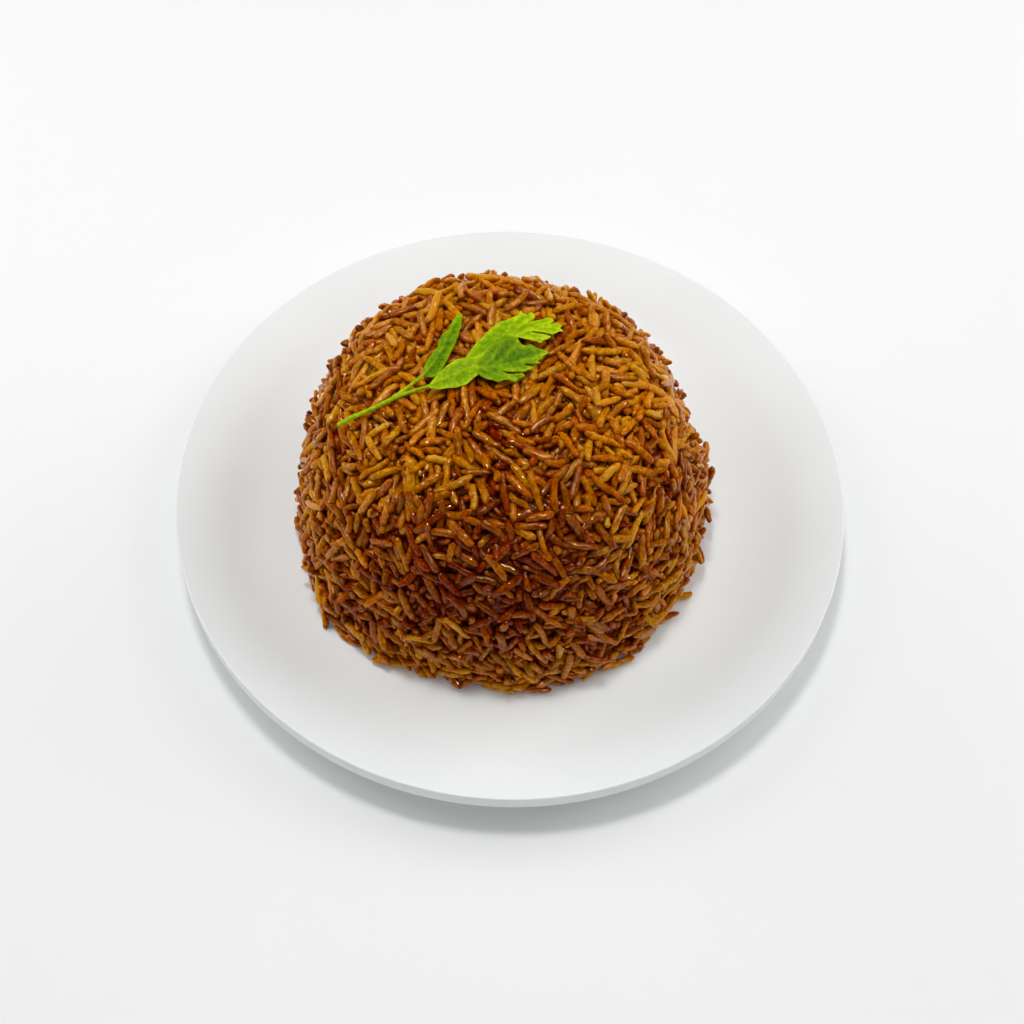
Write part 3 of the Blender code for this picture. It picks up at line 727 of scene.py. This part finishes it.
def lay_grains():
    """All the grains of the heap, settled against each other."""
    draws = np.random.default_rng(41)
    groups = [layer_grains(layer, number, draws) for number, layer in enumerate(LAYERS)]
    groups.append(straggler_grains())
    grains = {key: np.concatenate([group[key] for group in groups]) for key in groups[0]}
    half = grains["length"] / 2 - ROD_RADIUS
    for step in range(SETTLING_STEPS):
        if step % STEPS_PER_SEARCH == 0:
            pairs = close_pairs(grains["middle"])
        push_apart(grains, pairs, half)
        keep_inside(grains, half)
    return grains


# ---- grain meshes

def grain_form(draws, sides, bands):
    """Points of one grain: x and y in metres, z from -1 to 1, with a pole at each end."""
    share = np.linspace(-1, 1, bands + 1)[1:-1, None]
    along = np.sin(share * pi / 2) * 0.35 + share * 0.65
    around = circle(sides)[None, :]
    low_power, high_power = draws.uniform(*END_POWERS, 2)
    girth = np.sqrt(1 - np.abs(along) ** np.where(along < 0, low_power, high_power))
    waist = draws.uniform(-0.06, 0.10)
    lumps = 1 + waist * along
    for cycles, turns, size in GRAIN_LUMPS:
        phase = draws.uniform(0, 2 * pi)
        lumps = lumps + size * np.cos(cycles * along + turns * around + phase)
    radius = GRAIN_WIDTH / 2 * girth * lumps
    bend = draws.choice(GRAIN_BENDS, p=BEND_CHANCES)
    sway = draws.normal(0, 0.25) * MM
    middle_y = bend * (0.45 - along ** 2)
    middle_x = sway * np.sin(pi * along)
    x = radius * np.cos(around) * GRAIN_FLATNESS + middle_x
    y = radius * np.sin(around) + middle_y
    z = np.broadcast_to(along, x.shape)
    body = np.stack([x, y, z], axis=-1).reshape(-1, 3)
    poles = [(0, -0.55 * bend, -1), (0, -0.55 * bend, 1)]
    return np.concatenate([body, poles])


def grain_frames(grains, chosen, draws):
    """For each grain its two cross directions and its axis; the first faces roughly outwards."""
    axis = grains["axis"][chosen]
    _, outward = depth_and_normal(grains["middle"][chosen])
    outward = outward - axis * products(outward, axis)[:, None]
    outward /= np.maximum(lengths(outward), 1e-6)[:, None]
    roll = draws.normal(0, 0.7, len(axis)) + pi * draws.integers(0, 2, len(axis))
    first = turned(outward, np.cross(axis, outward), roll)
    return np.stack([first, np.cross(axis, first), axis], axis=1)


def grain_mesh(name, grains, chosen, sides, bands, seed):
    """One mesh of the chosen grains, each a copy of one of several forms, sized and turned."""
    draws = np.random.default_rng(seed)
    forms = [grain_form(draws, sides, bands) for _ in range(GRAIN_FORMS)]
    frames = grain_frames(grains, chosen, draws)
    count = len(chosen)
    width = np.clip(draws.normal(1, WIDTH_SCATTER, count), *WIDTH_RANGE)
    breadth = width * draws.uniform(*BREADTH_RANGE, count)
    size = np.stack([width, breadth, grains["length"][chosen] / 2], axis=1)
    form_of = draws.integers(0, len(forms), count)
    form_points = np.stack(forms)[form_of]
    middles = grains["middle"][chosen][:, None]
    points = np.einsum("nvk,nkc->nvc", form_points * size[:, None], frames) + middles
    depth, outward = depth_and_normal(points)
    off_axis = points - middles
    off_axis -= frames[:, None, 2] * np.einsum("nvc,nc->nv", off_axis, frames[:, 2])[..., None]
    facing = np.einsum("nvc,nvc->nv", off_axis, outward) / (GRAIN_WIDTH / 2)
    points += MOUND_CENTRE
    points[..., 2] = np.maximum(points[..., 2], WELL_TOP + CLEAR_OF_PLATE)
    per_grain = len(forms[0])
    triangles = ring_triangles(bands - 1, sides)
    triangles = (triangles[None] + (np.arange(count) * per_grain)[:, None, None]).reshape(-1, 3)
    numbers = {
        "tone": np.repeat(grains["tone"][chosen], per_grain),
        "hue": np.repeat(draws.uniform(0, 1, count), per_grain),
        "along": form_points[..., 2].ravel() * np.repeat(draws.choice((-1, 1), count), per_grain),
        # facing and depth carry the painted shade on the grains' sides and in the crevices.
        "facing": np.clip(facing, -1, 1).ravel(),
        "depth": np.clip(depth / CREVICE_SHADE_DEPTH, -0.3, 1).ravel(),
    }
    return new_mesh(name, points.reshape(-1, 3), triangles, numbers)


def zone_tone(places):
    """The usual tone at places in the heap: painted shade, darkest in front, and painted light to the far
    side.
    """
    azimuth = np.degrees(np.arctan2(places[:, 1], places[:, 0])) % 360
    front_shade = np.exp(-((azimuth - FRONT_SHADE_AZIMUTH) / FRONT_SHADE_REACH) ** 2)
    front_shade *= np.exp(-((places[:, 2] - FRONT_SHADE_HEIGHT) / FRONT_SHADE_HEIGHT_REACH) ** 2)
    pale = np.clip(PALE_SHIFT + (places[:, 1] + PALE_SLANT * places[:, 0]) / PALE_REACH, 0, 1)
    return USUAL_TONE - FRONT_PAINTED_SHADE * front_shade + FAR_PAINTED_LIGHT * pale


def give_tones(grains):
    """A tone from 0, dark, to 1, pale, for each grain: its zone's painted light and shade, its patch's and
    its own.
    """
    draws = np.random.default_rng(7)
    middles = grains["middle"]
    patch = ripples(middles, draws, PATCH_SIZES, 6)
    clump = ripples(middles, draws, CLUMP_SIZES, 12)
    own = draws.normal(0, OWN_TONE, len(middles))
    tone = zone_tone(middles) + PATCH_TONE * patch + CLUMP_TONE * clump + own
    grains["tone"] = np.clip(tone, 0, 1)


# ---- rice

def make_rice_material(name):
    """Cooked rice stained brown, with painted shade: golden where it faces out, redder and darker on its
    other sides and in the crevices.
    """
    material, tree, shader, place = new_material(name)
    blotch = maths(tree, "SUBTRACT", noise(tree, place, 2.2 * MM), 0.5)
    fleck = maths(tree, "SUBTRACT", noise(tree, place, 1.0 * MM, 2.0, 0.6), 0.5)
    mottled = maths(tree, "MULTIPLY_ADD", blotch, 0.9, attribute(tree, "tone"))
    mottled = maths(tree, "MULTIPLY_ADD", fleck, 1.0, mottled)
    # Painted shade: each grain is paler on the side that faces out of the heap, and darker and redder on its
    # other sides.
    painted_side_shade = spread(tree, attribute(tree, "facing"), -0.22, 0.14, -0.3, 0.7, "SMOOTHSTEP")
    mottled = maths(tree, "ADD", mottled, painted_side_shade)
    # Painted shade in the crevices: darker the deeper below the outline, and more so on darker grains.
    painted_crevice_shade = spread(tree, attribute(tree, "depth"), 0.0, -0.9, 0.08, 0.5, "SMOOTHSTEP")
    shade_weight = maths(tree, "SUBTRACT", 0.95, attribute(tree, "tone"), clamp=True)
    mottled = maths(tree, "MULTIPLY_ADD", painted_crevice_shade, shade_weight, mottled)
    ends = maths(tree, "POWER", maths(tree, "ABSOLUTE", attribute(tree, "along")), 5.0)
    mottled = maths(tree, "MULTIPLY_ADD", ends, -0.05, mottled, clamp=True)
    shade = ramp(tree, mottled, (
        (0.00, 104, 26, 0),
        (0.22, 128, 46, 0),
        (0.42, 148, 68, 0),
        (0.60, 170, 92, 0),
        (0.80, 190, 114, 2),
        (1.00, 212, 146, 18),
    ))
    hue = spread(tree, attribute(tree, "hue"), 0.490, 0.508)
    tinted = add_node(tree, "HueSaturation", {"Color": shade, "Hue": hue}).outputs["Color"]
    specks = add_node(tree, "TexVoronoi", {"Vector": place, "Scale": 1 / (3.4 * MM)}).outputs["Distance"]
    speck = spread(tree, specks, 1.0, 0.0, 0.05, 0.085)
    final = blend_colours(tree, maths(tree, "MULTIPLY", speck, 0.7), tinted, colour(48, 18, 2))
    feed(tree, shader, {
        "Base Color": final,
        "Roughness": spread(tree, noise(tree, place, 1.6 * MM), 0.04, 0.10, 0.35, 0.7),
        "Normal": bump(tree, noise(tree, place, 0.75 * MM, 1.0), 1.0, 0.2 * MM),
        "Specular IOR Level": 0.3,
        "Specular Tint": (1.0, 0.76, 0.42, 1.0),
        "Subsurface Weight": 0.5,
        "Subsurface Radius": (1.0, 0.2, 0.04),
        "Subsurface Scale": 1.5 * MM,
    })
    return material


def core_mesh():
    """The sticky mass that the grains lie in: a dome with lumps and pits, closed below."""
    radius, height, steps = heap_section()
    way = np.concatenate([[0], np.cumsum(steps)])
    wanted = (np.arange(CORE_ROWS) + 0.5) / (CORE_ROWS - 0.5) * way[-1]
    shell = turned_points(np.interp(wanted, way, radius), np.interp(wanted, way, height), CORE_COLUMNS)
    _, normals = depth_and_normal(shell)
    draws = np.random.default_rng(19)
    lumps = LUMP_HEIGHT * ripples(shell, draws, LUMP_SIZES, 24)
    relief = lumps + SINK_HEIGHT * ripples(shell, draws, SINK_SIZES, 14)
    relief = np.minimum(relief, CORE_DEPTH - LEAST_CORE_DEPTH)
    shell = shell + normals * (swell(shell) - CORE_DEPTH + relief)[:, None]
    shell[:, 2] = np.maximum(shell[:, 2], 0)
    points = np.concatenate([shell, [(0, 0, shell[:CORE_COLUMNS, 2].mean()), (0, 0, 0)]])
    triangles = ring_triangles(CORE_ROWS, CORE_COLUMNS)
    numbers = {
        "tone": zone_tone(points),
        "hue": np.full(len(points), 0.5),
        "along": np.zeros(len(points)),
        # Painted shade: the core is paler on its lumps and darker where it lies deeper.
        "facing": np.append(np.clip(lumps / LUMP_HEIGHT - 0.2, -1, 1), [0, 0]),
        "depth": np.append((CORE_DEPTH - relief) / CREVICE_SHADE_DEPTH, [1, 1]),
    }
    return new_mesh("rice_heap_core", points + MOUND_CENTRE, triangles, numbers)


def make_rice():
    """The heap: the grains by kind, then its core."""
    grains = lay_grains()
    give_tones(grains)
    surface = make_rice_material("moist_brown_rice")
    outer = np.flatnonzero(grains["layer"] == 0)
    tones = grains["tone"][outer]
    pale = tones >= np.median(tones)
    # Name, grains, sides round each, bands along each and seed of the draws.
    kinds = (
        ("rice_amber_grains", outer[pale], 12, 15, 101),
        ("rice_brown_grains", outer[~pale], 12, 15, 102),
        ("rice_under_grains", np.flatnonzero(grains["layer"] == 1), 10, 8, 103),
        ("rice_inner_grains", np.flatnonzero(grains["layer"] == 2), 8, 6, 104),
    )
    for name, chosen, sides, bands, seed in kinds:
        mesh = grain_mesh(name, grains, chosen, sides, bands, seed)
        add_piece(name, mesh, surface, "rice_mound")
    add_piece("rice_heap_core", core_mesh(), surface, "rice_mound")


# ---- sprig

def distance_to_line(points, line):
    """Distances of plane points from a line of joined points."""
    nearest = np.full(len(points), np.inf)
    for start, end in zip(line, line[1:]):
        run = end - start
        share = np.clip((points - start) @ run / (run @ run), 0, 1)
        nearest = np.minimum(nearest, lengths(points - start - share[:, None] * run))
    return nearest


def sprig_lines():
    """The sprig's stems and veins as seen from above."""
    lines = [np.array(points)[:, :2] * MM for points in (STEM_POINTS, SIDE_STEM_POINTS)]
    for blade in BLADES.values():
        lines += [np.array(vein) * MM for vein in blade["veins"]]
    return lines


def rounded(outline):
    """A closed outline with its corners cut a little."""
    after = np.roll(outline, -1, axis=0)
    kept = 1 - CORNER_CUT
    cut = [kept * outline + CORNER_CUT * after, CORNER_CUT * outline + kept * after]
    return np.stack(cut, axis=1).reshape(-1, 2)


def inside_outline(points, outline):
    """Whether plane points lie in a closed outline."""
    within = np.zeros(len(points), dtype=bool)
    for start, end in zip(outline, np.roll(outline, -1, axis=0)):
        crosses = (start[1] > points[:, 1]) != (end[1] > points[:, 1])
        slope = (end[0] - start[0]) / (end[1] - start[1] if end[1] != start[1] else 1e-12)
        within ^= crosses & (points[:, 0] < start[0] + slope * (points[:, 1] - start[1]))
    return within


def blade_rises(points, blade):
    """Height over the outline at points of a blade, smoothly between the rises it is given."""
    given = np.array(blade["rises"]) * MM
    away = lengths(points[:, None] - given[None, :, :2])
    weight = np.exp(-0.5 * (away / (blade["reach"] * MM)) ** 2) + 1e-9 / (away + MM) ** 3
    return (weight * given[:, 2]).sum(axis=1) / weight.sum(axis=1)


def blade_mesh(name, blade):
    """A thin wavy leaf blade filled with small triangles inside its toothed outline."""
    draws = np.random.default_rng(len(name))
    outline = rounded(np.array(blade["outline"]) * MM)
    low, high = outline.min(axis=0), outline.max(axis=0)
    steps = (np.arange(low[k], high[k], BLADE_STEP) for k in (0, 1))
    grid = np.stack(np.meshgrid(*steps), axis=-1).reshape(-1, 2)
    grid += draws.uniform(-BLADE_SCATTER, BLADE_SCATTER, grid.shape) * BLADE_STEP
    closed = np.concatenate([outline, outline[:1]])
    grid = grid[inside_outline(grid, outline) & (distance_to_line(grid, closed) > 0.45 * BLADE_STEP)]
    flat = np.concatenate([outline, grid])
    count = len(outline)
    edges = [(i, (i + 1) % count) for i in range(count)]
    corners, _, faces, *_ = delaunay_2d_cdt([Vector(point) for point in flat / MM], edges, [], 1, 1e-5)
    flat = np.array([corner[:] for corner in corners]) * MM
    vein = np.zeros(len(flat))
    for line in blade["veins"]:
        away = distance_to_line(flat, np.array(line) * MM)
        vein = np.maximum(vein, np.exp(-(away / VEIN_WIDTH) ** 2))
    margin = distance_to_line(flat, closed)
    wave = WAVE_HEIGHT * np.sin(flat[:, 0] / (0.9 * MM) + 2.1 * np.sin(flat[:, 1] / (1.6 * MM)))
    rise = blade_rises(flat, blade) - VEIN_DEPTH * vein + wave * np.exp(-margin / WAVE_REACH)
    numbers = {
        "vein": vein,
        "margin": np.exp(-margin / MARGIN_REACH),
        "tone": np.full(len(flat), blade["tone"]),
    }
    return new_mesh(name, over_heap(flat[:, 0], flat[:, 1], rise), np.array(faces), numbers)


def stem_mesh(name, places, radius):
    """A ribbed stem, thinner towards its far end, with its cut end closed."""
    given = np.array(places) * MM
    knots = over_heap(given[:, 0], given[:, 1], given[:, 2])
    way = np.concatenate([[0], np.cumsum(lengths(np.diff(knots, axis=0)))])
    share = np.linspace(0, 1, STEM_BANDS)
    path = np.stack([np.interp(share * way[-1], way, knots[:, k]) for k in range(3)], axis=1)
    for _ in range(STEM_SMOOTHINGS):
        path[1:-1] = (path[:-2] + 2 * path[1:-1] + path[2:]) / 4
    forward = np.gradient(path, axis=0)
    forward /= lengths(forward)[:, None]
    aside = np.cross(forward, (0, 0, 1))
    aside /= lengths(aside)[:, None]
    upward = np.cross(aside, forward)
    around = circle(STEM_SIDES)
    ribs = np.cos(STEM_RIBS * around)[None, :]
    girth = radius * (1 - (1 - STEM_TAPER) * share)[:, None] * (1 + RIB_HEIGHT * ribs)
    rings = path[:, None] + girth[..., None] * turned(aside[:, None], upward[:, None], around)
    points = np.concatenate([rings.reshape(-1, 3), path[:1], path[-1:]])
    numbers = {
        "vein": np.append(np.tile(0.5 + 0.5 * ribs, (STEM_BANDS, 1)), [0, 0]),
        "margin": np.zeros(len(points)),
        "tone": np.append(0.78 - 0.2 * np.repeat(share, STEM_SIDES), [0.9, 0.58]),
    }
    return new_mesh(name, points, ring_triangles(STEM_BANDS, STEM_SIDES), numbers)


def make_leaf_material():
    """Fresh coriander: a soft green blade, paler along the veins, yellow-green at the cut stem."""
    material, tree, shader, place = new_material("fresh_coriander")
    mottle = maths(tree, "SUBTRACT", noise(tree, place, 1.6 * MM, 3.0, 0.65), 0.5)
    # The tone holds each blade's painted light and shade.
    tone = maths(tree, "MULTIPLY_ADD", mottle, 0.9, attribute(tree, "tone"))
    tone = maths(tree, "MULTIPLY_ADD", attribute(tree, "vein"), 0.22, tone)
    # Painted highlight: paler towards the blade's margins.
    tone = maths(tree, "MULTIPLY_ADD", attribute(tree, "margin"), 0.34, tone, clamp=True)
    shade = ramp(tree, tone, (
        (0.00, 40, 68, 0),
        (0.35, 76, 114, 0),
        (0.70, 132, 168, 0),
        (1.00, 186, 208, 14),
    ))
    cells = noise(tree, place, 0.5 * MM, 3.0, 0.6)
    feed(tree, shader, {
        "Base Color": shade,
        "Roughness": spread(tree, cells, 0.42, 0.6),
        "Normal": bump(tree, cells, 0.5, 0.08 * MM),
        "Specular IOR Level": 0.02,
        "Subsurface Weight": 0.25,
        "Subsurface Radius": (0.6, 1.0, 0.15),
        "Subsurface Scale": 0.6 * MM,
    })
    return material


def make_sprig():
    """The stems and leaf blades."""
    green = make_leaf_material()
    stems = (
        ("coriander_stem", STEM_POINTS, STEM_RADIUS),
        ("coriander_side_stem", SIDE_STEM_POINTS, SIDE_STEM_RADIUS),
    )
    for name, places, radius in stems:
        add_piece(name, stem_mesh(name, places, radius), green, "coriander_sprig")
    for name, blade in BLADES.items():
        piece = add_piece(name, blade_mesh(name, blade), green, "coriander_sprig")
        solid = piece.modifiers.new("thickness", "SOLIDIFY")
        solid.thickness = BLADE_THICKNESS
        solid.offset = 0


# ---- plate

def arc(centre, radius, start, end, steps):
    """Points (r, z) along an arc, from one angle to the other in degrees."""
    angles = [radians(start + (end - start) * i / steps) for i in range(steps + 1)]
    return [(centre[0] + radius * cos(a), centre[1] + radius * sin(a)) for a in angles]


def plate_profile():
    """The plate's section from near the middle of the well, over its edge, to near the middle below."""
    arc_centre = (WELL_RADIUS, WELL_TOP + WALL_ARC_RADIUS)
    inner_wall = arc(arc_centre, WALL_ARC_RADIUS, -90, WALL_SLOPE - 90, WALL_STEPS)
    outer_wall = arc(arc_centre, WALL_ARC_RADIUS + PLATE_THICKNESS, WALL_SLOPE - 90, -90, WALL_STEPS)
    edge_radius = PLATE_RADIUS - EDGE_ROUNDING
    top = arc((edge_radius, PLATE_HEIGHT - EDGE_ROUNDING), EDGE_ROUNDING, 90 + WALL_SLOPE, 0, EDGE_STEPS)
    foot_of_edge = (edge_radius, PLATE_HEIGHT - EDGE_HEIGHT + EDGE_ROUNDING)
    bottom = arc(foot_of_edge, EDGE_ROUNDING, 0, WALL_SLOPE - 90, EDGE_STEPS)
    foot_inner = FOOT_RADIUS - FOOT_FLAT - 2 * FOOT_CHAMFER
    foot_side = (
        (FOOT_CHAMFER, FOOT_HEIGHT),
        (0, FOOT_HEIGHT - FOOT_CHAMFER),
        (0, FOOT_CHAMFER),
        (-FOOT_CHAMFER, 0),
    )
    foot = [(FOOT_RADIUS + out, height) for out, height in foot_side]
    foot += [(foot_inner - out, height) for out, height in reversed(foot_side)]
    well = [(WELL_RADIUS * share, WELL_TOP) for share in (0.02, 0.25, 0.5, 0.75, 0.9)]
    below = [(FOOT_RADIUS * share, FOOT_HEIGHT) for share in (0.9, 0.6, 0.3, 0.02)]
    return well + inner_wall + top + bottom + outer_wall + foot + below


def make_glaze():
    """White glaze, faintly clouded and uneven, that is wiped off the foot."""
    material, tree, shader, place = new_material("white_glaze")
    cloud = noise(tree, place, 45 * MM, 1.0)
    white = ramp(tree, cloud, ((0.3, 239, 243, 243), (0.7, 242, 246, 246)))
    height = add_node(tree, "SeparateXYZ", {"Vector": place}).outputs["Z"]
    bare = spread(tree, height, 1.0, 0.0, 0.25 * MM, 0.7 * MM)
    grit = noise(tree, place, 0.7 * MM, 3.0)
    clay = blend_colours(tree, grit, colour(205, 200, 188), colour(226, 222, 212))
    glossy = spread(tree, noise(tree, place, 20 * MM, 1.0), 0.46, 0.52)
    feed(tree, shader, {
        "Base Color": blend_colours(tree, bare, white, clay),
        "Roughness": maths(tree, "MULTIPLY_ADD", bare, 0.4, glossy),
        "Normal": bump(tree, noise(tree, place, 26 * MM, 0.0), 0.1, 0.3 * MM),
        "Specular IOR Level": 0.12,
    })
    return material


def make_plate():
    """The plate, turned finely."""
    section = np.array(plate_profile())
    points = turned_points(section[:, 0], section[:, 1], TURN_STEPS)
    points = np.concatenate([points, [(0, 0, WELL_TOP), (0, 0, FOOT_HEIGHT)]])
    triangles = ring_triangles(len(section), TURN_STEPS)[:, ::-1]
    mesh = new_mesh("plate_glazed", points, triangles, {})
    add_piece("plate_glazed", mesh, make_glaze(), "plate")


# ---- camera, light and floor

def make_camera():
    """A camera at the photo's angle."""
    back = Vector((0, -cos(CAMERA_ELEVATION), sin(CAMERA_ELEVATION)))
    right = Vector((1, 0, 0))
    up = back.cross(right)
    across = right * cos(CAMERA_ROLL) + up * sin(CAMERA_ROLL)
    upright = up * cos(CAMERA_ROLL) - right * sin(CAMERA_ROLL)
    stand = Matrix((across, upright, back)).transposed().to_4x4()
    stand.translation = Vector(CAMERA_TARGET) + back * CAMERA_DISTANCE
    lens = bpy.data.cameras.new("camera")
    lens.lens = CAMERA_LENS
    lens.sensor_width = CAMERA_SENSOR
    lens.clip_start = 0.01
    camera = add_object("camera", lens)
    camera.matrix_world = stand
    bpy.context.scene.camera = camera


def add_softbox(name, place, aim, width, power, glints=False):
    """A square light that points from one place at another, and may show in glossy surfaces."""
    lamp = bpy.data.lights.new(name, "AREA")
    lamp.size = width
    lamp.energy = power
    holder = add_object(name, lamp)
    holder.location = place
    holder.visible_glossy = glints
    holder.rotation_euler = (Vector(aim) - Vector(place)).to_track_quat("-Z", "Y").to_euler()
    return holder


def make_light():
    """A small bright lamp nearly overhead, a softbox at each side, small glints and a pale room."""
    add_softbox("overhead_lamp", (-0.10, 0.09, 1.1), (0, 0, 0.02), 0.15, OVERHEAD_POWER, glints=True)
    add_softbox("left_softbox", (-0.9, 0.4, 0.7), (0, 0, 0.05), 0.9, LEFT_POWER)
    add_softbox("right_softbox", (0.9, 0.4, 0.7), (0, 0, 0.05), 0.9, RIGHT_POWER)
    for number, (azimuth, away, height) in enumerate(GLINT_LAMPS):
        place = about_axis(away, radians(azimuth), height)
        lamp = add_softbox(f"glint_lamp_{number}", place, (0, 0, 0.05), 0.08, GLINT_POWER, glints=True)
        lamp.visible_diffuse = False
    world = bpy.data.worlds.new("pale_room")
    bpy.context.scene.world = world
    world.use_nodes = True
    tree = world.node_tree
    feed(tree, tree.nodes["Background"], {"Color": (1, 1, 1, 1), "Strength": ROOM_LIGHT})
    world.cycles_visibility.glossy = False
    bpy.context.scene.view_settings.view_transform = "Standard"


def make_floor():
    """A pale seamless floor."""
    material, tree, shader, place = new_material("pale_floor")
    grey = spread(tree, noise(tree, place, 0.3), 0.90, 0.92, 0.3, 0.7)
    feed(tree, shader, {"Base Color": grey, "Roughness": 0.9})
    corners = [(FLOOR_REACH * x, FLOOR_REACH * y, 0) for x, y in ((-1, -1), (1, -1), (1, 1), (-1, 1))]
    mesh = bpy.data.meshes.new("floor")
    mesh.from_pydata(corners, [], [(0, 1, 2, 3)])
    mesh.materials.append(material)
    add_object("floor", mesh)


def main():
    make_camera()
    make_light()
    make_floor()
    make_plate()
    make_rice()
    make_sprig()


main()
